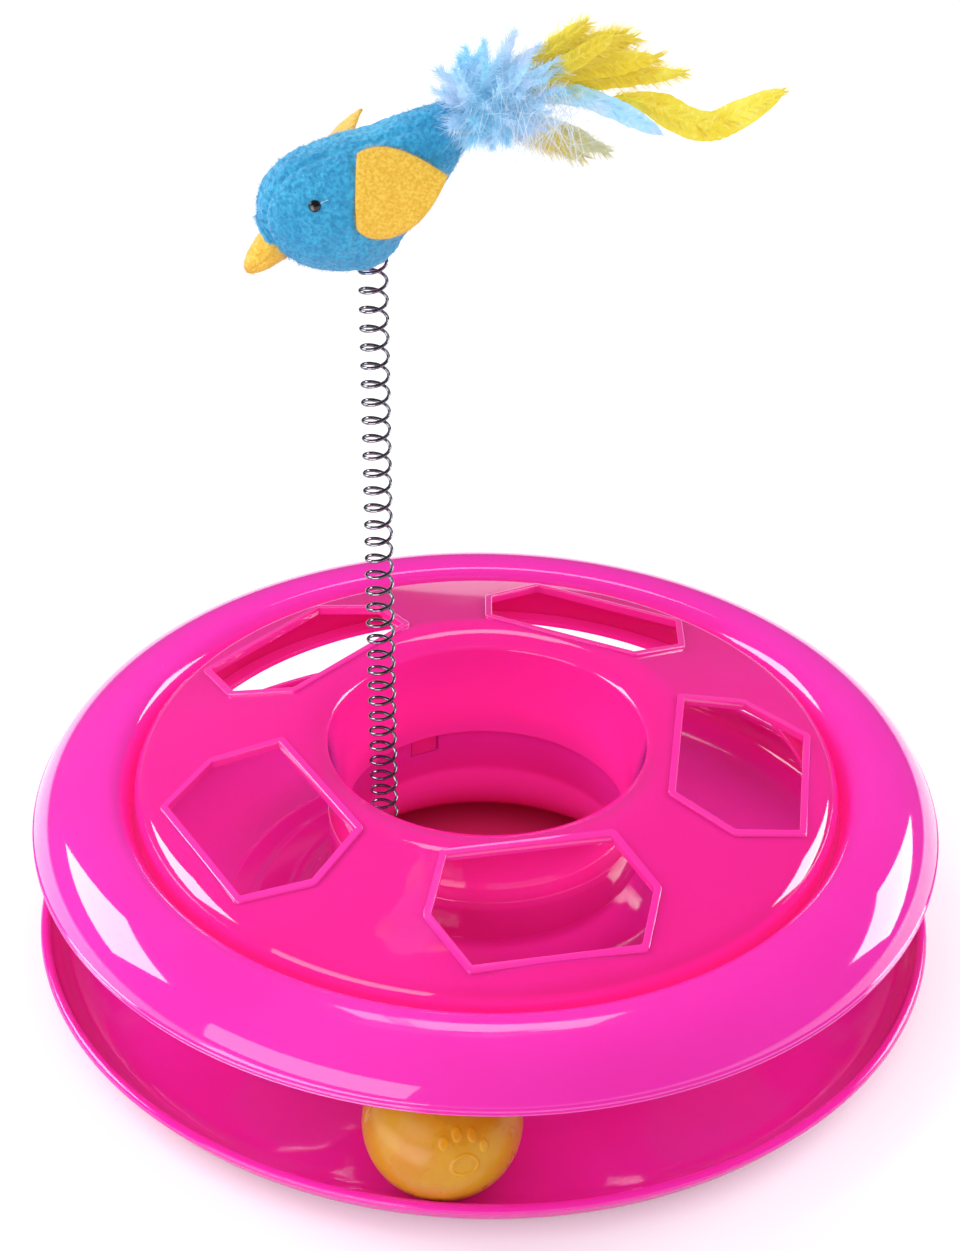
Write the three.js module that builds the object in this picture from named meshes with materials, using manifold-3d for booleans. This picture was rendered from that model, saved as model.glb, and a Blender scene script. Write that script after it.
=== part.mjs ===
// Cat roundabout toy: a ball runs in a round track under a cover with five windows, and a plush bird
// sways above the middle on a long coil spring. Millimetres, +Z up, the origin on the table under the centre.
import * as THREE from "three";
import { mergeVertices } from "three/addons/utils/BufferGeometryUtils.js";
import Module from "manifold-3d";

const wasm = await Module();
wasm.setup();

// Fits and clearances
const SEAT_GAP = 0.3;         // between pieces that rest on or beside each other
const KEY_PLAY = 0.4;         // each side of a key in its notch and of a hook in its slot
const BALL_PLAY = 0.4;        // between the ball and the track floor
const HEADROOM = 2.4;         // between the ball and the underside of the cover
const BALL_INSET = 0.1;       // from the ball's path to the outer edge of the ring above it
const DECK_GAP = 0.8;         // between the deck's edge and the ring round it

// Ball
const BALL_RADIUS = 20.5;
const BALL_WALL = 1.4;
const BALL_AZIMUTH = -95.4;
const BALL_POLE_AZIMUTH = -75; // the two halves meet square to this direction
const BALL_SIDES = 20;
const BALL_STEPS = 6;         // from the seam to the pole

// Track dish
const RIM_RADIUS = 124.7;     // over the rolled rim
const RIM_HEIGHT = 11.2;      // centre of the rolled rim
const RIM_BEAD = 1.5;         // radius of the rolled rim
const RING_OVERHANG = 0.3;    // how far the ring above stands out past the rim
const DISH_WALL = 2;
const TRACK_FLOOR = 2.6;      // height of the floor under the ball
const TRACK_RADIUS = RIM_RADIUS + RING_OVERHANG - BALL_INSET - BALL_RADIUS;
const FOOT_INSET = 12.4;      // from where the ball runs to the middle of the foot ring
const FOOT_WIDTH = 5;
const STEP_RADII = [58, 66, 74];   // the moulded rings round the hub
const STEP_HEIGHTS = [9.2, 7.8, 6.4];
const STEP_BEVEL = 1;

// Heights of the cover follow the ball: the flange clears it, and the rest is set from the flange
const FLANGE_HEIGHT = TRACK_FLOOR + BALL_PLAY + 2 * BALL_RADIUS + HEADROOM;

// Hub
const HUB_BORE = 39.5;        // inside radius of the collar
const COLLAR_WALL = 1.8;
const COLLAR_DROP = 3.4;      // from the flange's underside down to the collar's top
const COLLAR_TOP = FLANGE_HEIGHT - COLLAR_DROP;
const COLLAR_HEIGHT = 10;     // the hub flares below
const HUB_FLARE = 5;          // radius of the flare at its foot
const KEY_COUNT = 3;
const KEY_WIDTH = 8;
const KEY_DEPTH = 5.2;
const KEY_AZIMUTH = 117;

// Outer ring
const RING_RADIUS = RIM_RADIUS + RING_OVERHANG;
const RING_WALL = 1.8;
const RING_WIDTH = 27.5;      // of the rolled section
const LIP_DROP = 2.8;         // from the flange's underside down to the lip's edge
const LIP_HEIGHT = 2.4;
const LIP_STEP = 0.5;         // how far the lip stands out past the roll
const CREST_INSET = 12.8;     // from the outer edge to the crest
const CREST_RISE = 14.2;      // from the flange's underside up to the crest
const ROLL_END = 168;         // angle round the crest at which the roll's top comes down to the bore
const ROLL_END_INSIDE = 178;  // and its underside to the flange
const FLANGE_WIDTH = 6.5;
const FLANGE_THICKNESS = 1.6;

// Window deck
const DECK_WALL = 1.8;
const DECK_RADIUS = RING_RADIUS - RING_WIDTH - DECK_GAP;
const DECK_RISE = 14.3;       // from the flange's underside up to where the shoulder begins
const DECK_SLOPE = 0.3;       // rise towards the well for each unit of radius
const SHOULDER_RADIUS = 6;
const WELL_LIP = 1;           // thickness of the lip that stands on the collar
const WELL_LIP_INSET = 0.9;   // how far the lip stands in past the collar's bore
const WELL_FLARE = 5.6;       // growth of the well's radius from its lip to its mouth
const MOUTH_FILLET = 14.6;
const MOUTH_START = 124;      // direction, in degrees, in which the fillet meets the mouth's edge
const MOUTH_END = 176;        // angle at which it meets the well's wall
const MOUTH_EDGE = 1.4;       // radius of the mouth's edge
const SKIRT_DROP = 10.5;      // how far the well's skirt reaches down round the collar
const WINDOW_COUNT = 5;
const WINDOW_AZIMUTH = -77.55;
const WINDOW_CORNERS = [[41, 24.7], [20.7, 24.5], [5.5, 14.8]]; // inset from the deck's edge and half angle
const WINDOW_RIM_WIDTH = 2;
const WINDOW_RIM_HEIGHT = 0.9;
const WINDOW_RIM_ROOT = 0.8;  // depth of the rim's root in the deck
const HOOK_COUNT = 5;
const HOOK_WIDTH = 9;
const HOOK_THICKNESS = 1.5;
const HOOK_BARB = 1.1;        // how far the barb catches under the flange
const HOOK_BARB_HEIGHT = 1.6;
const HOOK_ROOT = 4;          // height of the root that joins the hook to the deck's edge wall
const HOOK_ROOT_DROP = 5;     // from the edge's height down to the top of the root
const HOOK_STANDOFF = 0.8;    // between a hook and the deck's edge wall

// Spring and its plugs
const SPRING_INSET = 8.26;    // from the collar's bore to the middle of the spring's foot
const SPRING_AZIMUTH = 208.7;
const SPRING_LEAN = -0.0156;  // travel along X for each unit of height
const SPRING_RADIUS = 3.35;   // to the middle of the wire
const WIRE_RADIUS = 0.45;
const WIRE_SIDES = 5;
const STEPS_PER_CURL = 8;
const SPRING_LENGTH = 185.2125;
const CURLS = 36.5;
const PITCH_GROWTH = 0.55;    // from the lowest curl to the highest
const SOCKET_SINK = 6;        // from the collar's top down to the socket's
const SOCKET_DEPTH = 12;
const SOCKET_WALL = 2;
const SOCKET_WEB = 3;         // thickness of the web that carries the socket
const PLUG_RADIUS = 3;
const PLUG_BEVEL = 0.7;
const PLUG_END_PLAY = 1;      // under the plug's tip
const PLUG_FLANGE_RADIUS = 5;
const PLUG_FLANGE = 1.6;
const PEG_RADIUS = 2.2;
const PEG_HEIGHT = 11;
const BUTTON_THICKNESS = 2;   // of the button that closes the top of the spring
const BUTTON_PEG = 5;         // length of its peg inside the spring
const SMALL_SIDES = 16;       // facets round the plugs and their holes

// Bird
const SPRING_REACH = 5.4;     // how far the spring reaches up past the bird's own origin
const BIRD_HEADING = 192;     // compass direction of the beak, from +X
const BIRD_PITCH = 30.4;      // nose down
// Stations along the body from the tail: distance ahead of the spring, middle height, half height, half width
const BODY_STATIONS = [
  [-37.5, 22.4, 4.6, 4.2],
  [-30, 20.8, 8.6, 7.3],
  [-18, 19.9, 12.5, 10.3],
  [-8, 19.2, 16, 12],
  [1, 19.8, 16.9, 12.6],
  [8, 20.8, 14.4, 11.2],
  [13, 21.8, 10, 8.2],
  [16, 22.6, 4.6, 3.9],
];
const BODY_SIDES = 18;
const BODY_STEPS = 16;
const POCKET_MOUTH = 4.8;     // radius of the opening in the belly that the spring enters by
const POCKET_RADIUS = 5.8;
const POCKET_HEIGHT = 8;
const FELT = 1.3;
const WING_AT = [-8, 25];     // ahead of the spring and up, to the middle of a wing's sewn edge
const WING_SEAM = 0.6;        // depth of the sewn edge in the body's side
const WING_ROOT = 19;         // length of the sewn edge
const WING_SPAN = 21.5;
const WING_LEAN = 18;         // how far the top of the sewn edge leans in
const WING_SPREAD = { left: 12, right: 60 };
const EYE_AT = [1.7, 28];     // ahead of the spring and up
const EYE_RADIUS = 1.55;
const BEAK_ROOT = 4;          // depth of the beak's root behind the front of the face
const BEAK_ROOT_HEIGHT = 20.8;
const BEAK_LENGTH = 13.5;
const BEAK_DROP = 3;          // from the root down to the tip
const BEAK_WIDTH = 5.2;       // half width at the root
const BEAK_DEPTH = 4.6;       // half height at the root
const BINDING_RADIUS = 2.1;
const BINDING_INSIDE = 6.5;   // length inside the tail
const BINDING_OUTSIDE = 2.5;

const QUILL_STUB = 1.2;       // bare quills between the binding and the first vane
const QUILL_RADIUS = 0.45;
const VANE_STEPS = 8;

// Each tuft leaves the binding at its own place, as sideways and upward distances from the middle. Its feathers
// run through [back, up, side] points, counted from there, and have a half width.
const FEATHER_THICKNESS = 0.7;
const BLUE_TUFT = { side: -1.4, up: 0, feathers: [
  [[[-8, 10, -6]], 3], [[[-4, 21, -6]], 4.4], [[[4, 23.5, -4]], 4.6], [[[12, 22, -8]], 4.6],
  [[[20, 17, -5]], 4.8], [[[27, 11, -7]], 4.8], [[[26, 4, -11]], 4.4], [[[22, -3, -8]], 4.2],
  [[[9, -4, -9]], 4.2], [[[14, 11, -12]], 5],
] };
const YELLOW_TUFT = { side: -0.3, up: 0.8, feathers: [
  [[[16, 11, 0], [27, 19, 0]], 3.6], [[[19, 10, 0], [36, 15, 0]], 4.2], [[[22, 7, 0], [45, 9, 0]], 4.4],
  [[[26, 4, 0], [52, 4.5, 0]], 4],
] };
const OLIVE_TUFT = { side: 0.7, up: -1.1, feathers: [
  [[[16, -7, 6], [35, -17, 8]], 3.2], [[[14, -8, 6], [29, -18, 8]], 3.4], [[[10, -7, 5], [21, -14, 8]], 3],
] };
const BLUE_PLUME = { side: 1.5, up: 0.3, feathers: [[[[24, 1, 6], [46, -9, 8]], 2]] };
const YELLOW_QUILL = { side: 0.6, up: 0.2, feathers: [
  [[[37, -1, 1], [58, -9.5, 1.5], [77.4, -2.2, 1.5]], 3.2],
] };

const ROUND = 40;             // facets round the big mouldings
const degrees = THREE.MathUtils.degToRad;

const pinkClear = { color: 0xee2a92, roughness: 0.15, metalness: 0 };
const pinkSolid = { color: 0xf63fb8, roughness: 0.15, metalness: 0 };
const amber = { color: 0xdc9030, roughness: 0.35, metalness: 0 };
const steel = { color: 0xb8bcc4, roughness: 0.2, metalness: 1 };
const blueFleece = { color: 0x3b97c1, roughness: 1, metalness: 0 };
const yellowFelt = { color: 0xeac44f, roughness: 1, metalness: 0 };
const blackBead = { color: 0x101014, roughness: 0.3, metalness: 0 };
const paleBlue = { color: 0x9cc8ea, roughness: 0.9, metalness: 0 };
const lemon = { color: 0xf0e23c, roughness: 0.9, metalness: 0 };
const olive = { color: 0xcfcf86, roughness: 0.9, metalness: 0 };
const whiteThread = { color: 0xe8e4dc, roughness: 0.9, metalness: 0 };

function bare(geometry) {
  const copy = geometry.index ? geometry.toNonIndexed() : geometry.clone();
  copy.deleteAttribute("normal");
  copy.deleteAttribute("uv");
  return mergeVertices(copy, 1e-4);
}

function toManifold(geometry) {
  const merged = bare(geometry);
  return new wasm.Manifold(new wasm.Mesh({
    numProp: 3,
    vertProperties: new Float32Array(merged.attributes.position.array),
    triVerts: new Uint32Array(merged.index.array),
  }));
}

function toGeometry(manifold) {
  const result = manifold.getMesh();
  const geometry = new THREE.BufferGeometry();
  geometry.setAttribute("position", new THREE.Float32BufferAttribute(result.vertProperties, 3));
  geometry.setIndex(new THREE.Uint32BufferAttribute(result.triVerts, 1));
  return geometry;
}

function piece(name, shape, finish) {
  const geometry = shape.isBufferGeometry ? shape : toGeometry(shape);
  const mesh = new THREE.Mesh(geometry, new THREE.MeshStandardMaterial(finish));
  mesh.name = name;
  return mesh;
}

// Turns a closed profile of [radius, height] points round the Z axis.
function revolve(profile, facets = ROUND) {
  const points = profile.map(([radius, height]) => new THREE.Vector2(radius, height));
  points.push(points[0].clone());
  return new THREE.LatheGeometry(points, facets).rotateX(Math.PI / 2);
}

// Points on an arc of an ellipse from one angle to another, both in degrees.
function arc(centre, radii, from, to, steps) {
  const points = [];
  for (let i = 0; i <= steps; i++) {
    const angle = degrees(from + ((to - from) * i) / steps);
    points.push([centre[0] + radii[0] * Math.cos(angle), centre[1] + radii[1] * Math.sin(angle)]);
  }
  return points;
}

// Points on a smooth bend that leaves the first point towards the corner and arrives from it at the last.
function bend(first, corner, last, steps) {
  const curve = new THREE.QuadraticBezierCurve(
    new THREE.Vector2(...first), new THREE.Vector2(...corner), new THREE.Vector2(...last));
  return curve.getPoints(steps).map((point) => [point.x, point.y]);
}

// Moves an open profile to its left by a distance, for the other face of a moulded wall.
function offset(profile, distance) {
  return profile.map((point, i) => {
    const before = profile[Math.max(i - 1, 0)];
    const after = profile[Math.min(i + 1, profile.length - 1)];
    const along = new THREE.Vector2(after[0] - before[0], after[1] - before[1]).normalize();
    return [point[0] - along.y * distance, point[1] + along.x * distance];
  });
}

// Moves the sides of a closed outline that runs counterclockwise inwards by a distance.
function inset(loop, distance) {
  const inward = loop.map(([x, y], i) => {
    const [nextX, nextY] = loop[(i + 1) % loop.length];
    return new THREE.Vector2(y - nextY, nextX - x).normalize();
  });
  return loop.map(([x, y], i) => {
    const before = inward.at(i - 1);
    const after = inward[i];
    const share = distance / (1 + before.dot(after));
    return [x + (before.x + after.x) * share, y + (before.y + after.y) * share];
  });
}

// An upright block with the outline of its corners, between two heights.
function prism(corners, bottom, top) {
  const shape = new THREE.Shape(corners.map(([x, y]) => new THREE.Vector2(x, y)));
  return new THREE.ExtrudeGeometry(shape, { depth: top - bottom, bevelEnabled: false }).translate(0, 0, bottom);
}

// An upright round bar, between two heights.
function bar(radius, x, y, bottom, top) {
  return new THREE.CylinderGeometry(radius, radius, top - bottom, SMALL_SIDES)
    .rotateX(Math.PI / 2)
    .translate(x, y, (bottom + top) / 2);
}

// A block that points out from the axis: from one radius to another, so wide, between two heights.
function radialBlock(inner, outer, width, bottom, top, azimuth) {
  return new THREE.BoxGeometry(outer - inner, width, top - bottom)
    .translate((inner + outer) / 2, 0, (bottom + top) / 2)
    .rotateZ(degrees(azimuth));
}

// Skins rings of points into one closed body. Each ring runs counterclockwise seen from the next one.
function loft(rings) {
  const count = rings[0].length;
  const vertices = rings.flat();
  const faces = [];
  for (let i = 0; i + 1 < rings.length; i++) {
    for (let j = 0; j < count; j++) {
      const next = (j + 1) % count;
      const low = i * count;
      const high = low + count;
      faces.push(low + j, low + next, high + next, low + j, high + next, high + j);
    }
  }
  const caps = [
    { ring: rings[0], start: 0, last: false },
    { ring: rings.at(-1), start: (rings.length - 1) * count, last: true },
  ];
  for (const { ring, start, last } of caps) {
    const centre = vertices.length;
    vertices.push(ring.reduce((sum, point) => sum.add(point), new THREE.Vector3()).divideScalar(count));
    for (let j = 0; j < count; j++) {
      const here = start + j;
      const next = start + ((j + 1) % count);
      faces.push(centre, last ? here : next, last ? next : here);
    }
  }
  const geometry = new THREE.BufferGeometry().setFromPoints(vertices);
  geometry.setIndex(faces);
  return geometry;
}

// The dish: rolled rim, track floor, moulded rings, flared hub and collar in one moulding.
function trackDish() {
  const collarOuter = HUB_BORE + COLLAR_WALL;
  const collarFoot = COLLAR_TOP - COLLAR_HEIGHT;
  const rimInner = RIM_RADIUS - 2 * RIM_BEAD;
  const [stepOne, stepTwo, stepThree] = STEP_HEIGHTS;
  const hub = bend([collarOuter + 1, collarFoot - HUB_FLARE], [collarOuter + HUB_FLARE, stepOne],
    [STEP_RADII[0], stepOne], 4);
  const steps = [
    [STEP_RADII[1] - STEP_BEVEL, stepOne - 0.3 * STEP_BEVEL],
    [STEP_RADII[1] + STEP_BEVEL, stepTwo],
    [STEP_RADII[2] - STEP_BEVEL, stepTwo - 0.3 * STEP_BEVEL],
    [STEP_RADII[2] + STEP_BEVEL, stepThree - 0.4 * STEP_BEVEL],
  ];
  const slope = bend([STEP_RADII[2] + 4, stepThree - STEP_BEVEL], [TRACK_RADIUS - 14, TRACK_FLOOR],
    [TRACK_RADIUS - 1, TRACK_FLOOR], 2);
  const bank = bend([TRACK_RADIUS + 4, TRACK_FLOOR + 0.1], [RIM_RADIUS - 5, TRACK_FLOOR + 1],
    [rimInner, RIM_HEIGHT], 4);
  const collar = [[collarOuter, COLLAR_TOP], [collarOuter + SEAT_GAP, collarFoot]];
  const top = [...collar, ...hub, ...steps, ...slope, ...bank];
  const under = offset(top, -DISH_WALL).reverse();
  under[under.length - 1] = [HUB_BORE, COLLAR_TOP];
  under[0] = [rimInner + 0.3 * DISH_WALL, RIM_HEIGHT - DISH_WALL];
  const rim = arc([RIM_RADIUS - RIM_BEAD, RIM_HEIGHT], [RIM_BEAD, RIM_BEAD], 150, -90, 5);
  let dish = toManifold(revolve([...top, ...rim, ...under].reverse()));

  const footInner = TRACK_RADIUS - FOOT_INSET - FOOT_WIDTH / 2;
  const footTop = TRACK_FLOOR - DISH_WALL / 2;
  const foot = revolve([
    [footInner, 0], [footInner + FOOT_WIDTH, 0], [footInner + FOOT_WIDTH, footTop], [footInner, footTop],
  ]);
  dish = dish.add(toManifold(foot));
  for (let i = 0; i < KEY_COUNT; i++) {
    const notch = radialBlock(HUB_BORE - COLLAR_WALL, collarOuter + COLLAR_WALL, KEY_WIDTH + 2 * KEY_PLAY,
      COLLAR_TOP - KEY_DEPTH - SEAT_GAP, COLLAR_TOP + COLLAR_WALL, keyAzimuth(i));
    dish = dish.subtract(toManifold(notch));
  }
  return dish.add(springSocket());
}

function keyAzimuth(i) {
  return KEY_AZIMUTH + (i * 360) / KEY_COUNT;
}

// Where the spring stands, on the floor plan.
function springFoot() {
  const away = HUB_BORE - SPRING_INSET;
  return [away * Math.cos(degrees(SPRING_AZIMUTH)), away * Math.sin(degrees(SPRING_AZIMUTH))];
}

// A round socket on a web from the hub's wall, which the spring's plug stands in.
function springSocket() {
  const [x, y] = springFoot();
  const bore = PLUG_RADIUS + SEAT_GAP;
  const top = COLLAR_TOP - SOCKET_SINK;
  const bottom = top - SOCKET_DEPTH - SOCKET_WALL;
  const cup = bar(bore + SOCKET_WALL, x, y, bottom, top);
  const hole = bar(bore, x, y, bottom + SOCKET_WALL, top + SOCKET_WALL);
  const web = radialBlock(HUB_BORE - SPRING_INSET, HUB_BORE + COLLAR_WALL / 2, SOCKET_WEB,
    bottom, COLLAR_TOP - COLLAR_HEIGHT, SPRING_AZIMUTH);
  return toManifold(cup).add(toManifold(web)).subtract(toManifold(hole));
}

// The rolled ring: a half-round roof over the ball's path, a lip outside and a flange inside.
function outerRing() {
  const bore = RING_RADIUS - RING_WIDTH;
  const crest = RING_RADIUS - CREST_INSET;
  const lipBottom = FLANGE_HEIGHT - LIP_DROP;
  const lipTop = lipBottom + LIP_HEIGHT;
  const flangeTop = FLANGE_HEIGHT + FLANGE_THICKNESS;
  const height = FLANGE_HEIGHT + CREST_RISE - lipTop;
  const outer = [
    [RING_RADIUS - LIP_STEP, lipBottom],
    [RING_RADIUS, lipBottom + LIP_STEP],
    [RING_RADIUS, lipTop - LIP_STEP],
    [RING_RADIUS - LIP_STEP, lipTop],
    ...arc([crest, lipTop], [RING_RADIUS - LIP_STEP - crest, height], 4, 90, 5),
    ...arc([crest, lipTop], [crest - bore, height], 90, ROLL_END, 5).slice(1),
    [bore, flangeTop],
  ];
  const inner = [
    ...arc([crest, lipTop], [crest - bore - RING_WALL, height - RING_WALL], ROLL_END_INSIDE, 90, 4),
    ...arc([crest, lipTop], [RING_RADIUS - crest - RING_WALL, height - RING_WALL], 90, 4, 4).slice(1),
    [RING_RADIUS - RING_WALL, lipBottom],
  ];
  const flange = [
    [bore - FLANGE_WIDTH, flangeTop],
    [bore - FLANGE_WIDTH, FLANGE_HEIGHT],
    [bore + RING_WALL, FLANGE_HEIGHT],
  ];
  let ring = toManifold(revolve([...outer, ...flange, ...inner]));
  for (let i = 0; i < HOOK_COUNT; i++) {
    const slot = radialBlock(hookInner() - KEY_PLAY, hookInner() + HOOK_THICKNESS + KEY_PLAY,
      HOOK_WIDTH + 2 * KEY_PLAY, FLANGE_HEIGHT - FLANGE_THICKNESS, flangeTop + FLANGE_THICKNESS,
      hookAzimuth(i));
    ring = ring.subtract(toManifold(slot));
  }
  return ring;
}

function hookInner() {
  return DECK_RADIUS - DECK_WALL - HOOK_THICKNESS - HOOK_STANDOFF;
}

function hookAzimuth(i) {
  return WINDOW_AZIMUTH + ((i + 0.5) * 360) / HOOK_COUNT;
}

// The deck's top face, raised by a height: the fillet at the well's mouth, and the shoulder at the deck's edge.
function deckFace(raise) {
  const lean = Math.atan(DECK_SLOPE);
  const start = 90 - THREE.MathUtils.radToDeg(lean);
  const edge = DECK_RADIUS - SHOULDER_RADIUS;
  const deckHeight = (radius) => FLANGE_HEIGHT + DECK_RISE + DECK_SLOPE * (edge - radius);
  const mouth = HUB_BORE - WELL_LIP_INSET + WELL_FLARE - MOUTH_FILLET * Math.cos(degrees(MOUTH_START));
  const filletEnd = mouth + MOUTH_FILLET * Math.sin(lean);
  const filletCentre = [mouth, deckHeight(filletEnd) - MOUTH_FILLET * Math.cos(lean)];
  const shoulderCentre = [edge, deckHeight(edge) - SHOULDER_RADIUS / Math.cos(lean)];
  return {
    fillet: arc(filletCentre, [MOUTH_FILLET + raise, MOUTH_FILLET + raise], MOUTH_START, start, 4),
    shoulder: arc(shoulderCentre, [SHOULDER_RADIUS + raise, SHOULDER_RADIUS + raise], start, 0, 4),
  };
}

// A window's six corners: narrow at the well, widest in the middle, cut off towards the deck's edge.
function windowCorners(azimuth) {
  const half = WINDOW_CORNERS.map(([reach, angle]) => [DECK_RADIUS - reach, angle]);
  const corners = [...half.map(([radius, angle]) => [radius, -angle]), ...half.reverse()];
  return corners.map(([radius, angle]) => {
    const direction = degrees(azimuth + angle);
    return [radius * Math.cos(direction), radius * Math.sin(direction)];
  });
}

// The deck: a sloping disc with a round shoulder, five rimmed windows and a tapered well with a skirt.
function windowDeck() {
  const face = deckFace(0);
  const edgeBottom = FLANGE_HEIGHT + FLANGE_THICKNESS;
  const wellInner = HUB_BORE - WELL_LIP_INSET;
  const lipBottom = COLLAR_TOP + SEAT_GAP;
  const wellBottom = lipBottom + WELL_LIP;
  const skirtInner = HUB_BORE + COLLAR_WALL + 2 * SEAT_GAP;
  const skirtOuter = skirtInner + DECK_WALL;
  const skirtBottom = wellBottom - SKIRT_DROP;

  const mouth = face.fillet[0];
  const start = degrees(MOUTH_START);
  const mouthCentre = [mouth[0] - MOUTH_EDGE * Math.cos(start), mouth[1] - MOUTH_EDGE * Math.sin(start)];
  const top = [
    [wellInner, wellBottom],
    ...arc(mouthCentre, [MOUTH_EDGE, MOUTH_EDGE], MOUTH_END, MOUTH_START, 2),
    ...face.fillet.slice(1), ...face.shoulder,
    [DECK_RADIUS, edgeBottom],
  ];
  const lower = [
    [DECK_RADIUS - DECK_WALL, edgeBottom],
    ...offset([...face.fillet, ...face.shoulder], -DECK_WALL).reverse(),
    [wellInner + DECK_WALL, wellBottom + 2 * DECK_WALL],
    [skirtOuter, wellBottom + DECK_WALL],
    [skirtOuter, skirtBottom],
    [skirtInner, skirtBottom],
    [skirtInner, lipBottom],
    [wellInner, lipBottom],
  ];
  let deck = toManifold(revolve([...top, ...lower].reverse()));

  const low = deckFace(-WINDOW_RIM_ROOT);
  const high = deckFace(WINDOW_RIM_HEIGHT);
  const layer = toManifold(revolve([
    ...low.fillet, ...low.shoulder.slice(0, 3),
    ...high.shoulder.slice(0, 3).reverse(), ...high.fillet.reverse(),
  ]));
  const above = 2 * mouth[1];
  for (let i = 0; i < WINDOW_COUNT; i++) {
    const corners = windowCorners(WINDOW_AZIMUTH + (i * 360) / WINDOW_COUNT);
    const rim = layer.intersect(toManifold(prism(corners, 0, above)));
    const opening = toManifold(prism(inset(corners, WINDOW_RIM_WIDTH), 0, above));
    deck = deck.add(rim).subtract(opening);
  }
  for (let i = 0; i < KEY_COUNT; i++) {
    const key = radialBlock(HUB_BORE, skirtInner + DECK_WALL / 2, KEY_WIDTH,
      COLLAR_TOP - KEY_DEPTH, lipBottom + WELL_LIP / 2, keyAzimuth(i));
    deck = deck.add(toManifold(key));
  }
  for (let i = 0; i < HOOK_COUNT; i++) {
    deck = deck.add(snapHook(hookAzimuth(i)));
  }
  return deck;
}

// A springy hook that passes through the ring's flange and catches under it.
function snapHook(azimuth) {
  const inner = hookInner();
  const outer = inner + HOOK_THICKNESS;
  const catchTop = FLANGE_HEIGHT - SEAT_GAP;
  const catchBottom = catchTop - HOOK_BARB_HEIGHT;
  const rootTop = FLANGE_HEIGHT + DECK_RISE - HOOK_ROOT_DROP;
  const stem = radialBlock(inner, outer, HOOK_WIDTH, catchBottom, rootTop, azimuth);
  const root = radialBlock(inner, outer + HOOK_STANDOFF + DECK_WALL / 2, HOOK_WIDTH,
    rootTop - HOOK_ROOT, rootTop, azimuth);
  const barb = radialBlock(inner, outer + HOOK_BARB, HOOK_WIDTH, catchBottom, catchTop, azimuth);
  return toManifold(stem).add(toManifold(root)).add(toManifold(barb));
}

// One hollow half of the ball, its pole pointing along +Z before it is turned.
function ballHalf() {
  const wall = BALL_RADIUS - BALL_WALL;
  const seam = THREE.MathUtils.radToDeg(Math.asin(SEAT_GAP / 2 / BALL_RADIUS));
  const seamInside = THREE.MathUtils.radToDeg(Math.asin(SEAT_GAP / 2 / wall));
  const outer = arc([0, 0], [BALL_RADIUS, BALL_RADIUS], seam, 90, BALL_STEPS);
  const inner = arc([0, 0], [wall, wall], 90, seamInside, BALL_STEPS);
  outer[BALL_STEPS][0] = 0;
  inner[0][0] = 0;
  return revolve([...outer, ...inner], BALL_SIDES);
}

function placeBallHalf(mesh, turn) {
  mesh.rotation.set(0, Math.PI / 2, 0);
  const holder = new THREE.Group();
  holder.add(mesh);
  holder.rotation.z = degrees(BALL_POLE_AZIMUTH + turn);
  const direction = degrees(BALL_AZIMUTH);
  holder.position.set(TRACK_RADIUS * Math.cos(direction), TRACK_RADIUS * Math.sin(direction),
    TRACK_FLOOR + BALL_PLAY + BALL_RADIUS);
  return holder;
}

// Middle of the spring at a height.
function springAxis(height) {
  const [x, y] = springFoot();
  return new THREE.Vector3(x + SPRING_LEAN * (height - springBottom()), y, height);
}

function springBottom() {
  return COLLAR_TOP - SOCKET_SINK + SEAT_GAP + PLUG_FLANGE + SEAT_GAP;
}

// The wire's middle line: a straight stub up from the plug, the curls, and a straight stub at the top.
function springLine() {
  const stub = 2 * WIRE_RADIUS;
  const start = springBottom() + stub;
  const lowestPitch = (SPRING_LENGTH - 2 * stub) / CURLS - PITCH_GROWTH / 2;
  const steps = Math.round(CURLS * STEPS_PER_CURL);
  const points = [];
  for (let i = 0; i <= steps; i++) {
    const curl = i / STEPS_PER_CURL;
    const rise = lowestPitch * curl + (PITCH_GROWTH * curl * curl) / (2 * CURLS);
    const angle = 2 * Math.PI * curl;
    const point = springAxis(start + rise);
    point.x += SPRING_RADIUS * Math.cos(angle);
    point.y += SPRING_RADIUS * Math.sin(angle);
    points.push(point);
  }
  const first = points[0].clone().add(new THREE.Vector3(0, 0, -stub));
  const last = points.at(-1).clone().add(new THREE.Vector3(0, 0, stub));
  return [first, ...points, last];
}

// A tube of flat-sided wire along points, its section carried on without twist.
function wire(points) {
  const rings = [];
  let side = new THREE.Vector3(1, 0, 0);
  points.forEach((point, i) => {
    const before = points[Math.max(i - 1, 0)];
    const after = points[Math.min(i + 1, points.length - 1)];
    const into = point.clone().sub(before).normalize();
    const out = after.clone().sub(point).normalize();
    const along = into.clone().add(out).normalize();
    side = side.clone().addScaledVector(along, -side.dot(along)).normalize();
    const up = along.clone().cross(side);
    const ring = [];
    for (let j = 0; j < WIRE_SIDES; j++) {
      const angle = (2 * Math.PI * j) / WIRE_SIDES;
      ring.push(point.clone().addScaledVector(side, WIRE_RADIUS * Math.cos(angle))
        .addScaledVector(up, WIRE_RADIUS * Math.sin(angle)));
    }
    rings.push(ring);
  });
  return loft(rings);
}

// Smallest distance between the surfaces of two curls, measured on points a part of a curl apart.
function leastGap(points) {
  let least = Infinity;
  const apart = Math.ceil(STEPS_PER_CURL / 2);
  for (let i = 0; i < points.length; i++) {
    for (let j = i + apart; j < Math.min(points.length, i + 2 * STEPS_PER_CURL); j++) {
      least = Math.min(least, points[i].distanceTo(points[j]) - 2 * WIRE_RADIUS);
    }
  }
  return least;
}

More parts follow.
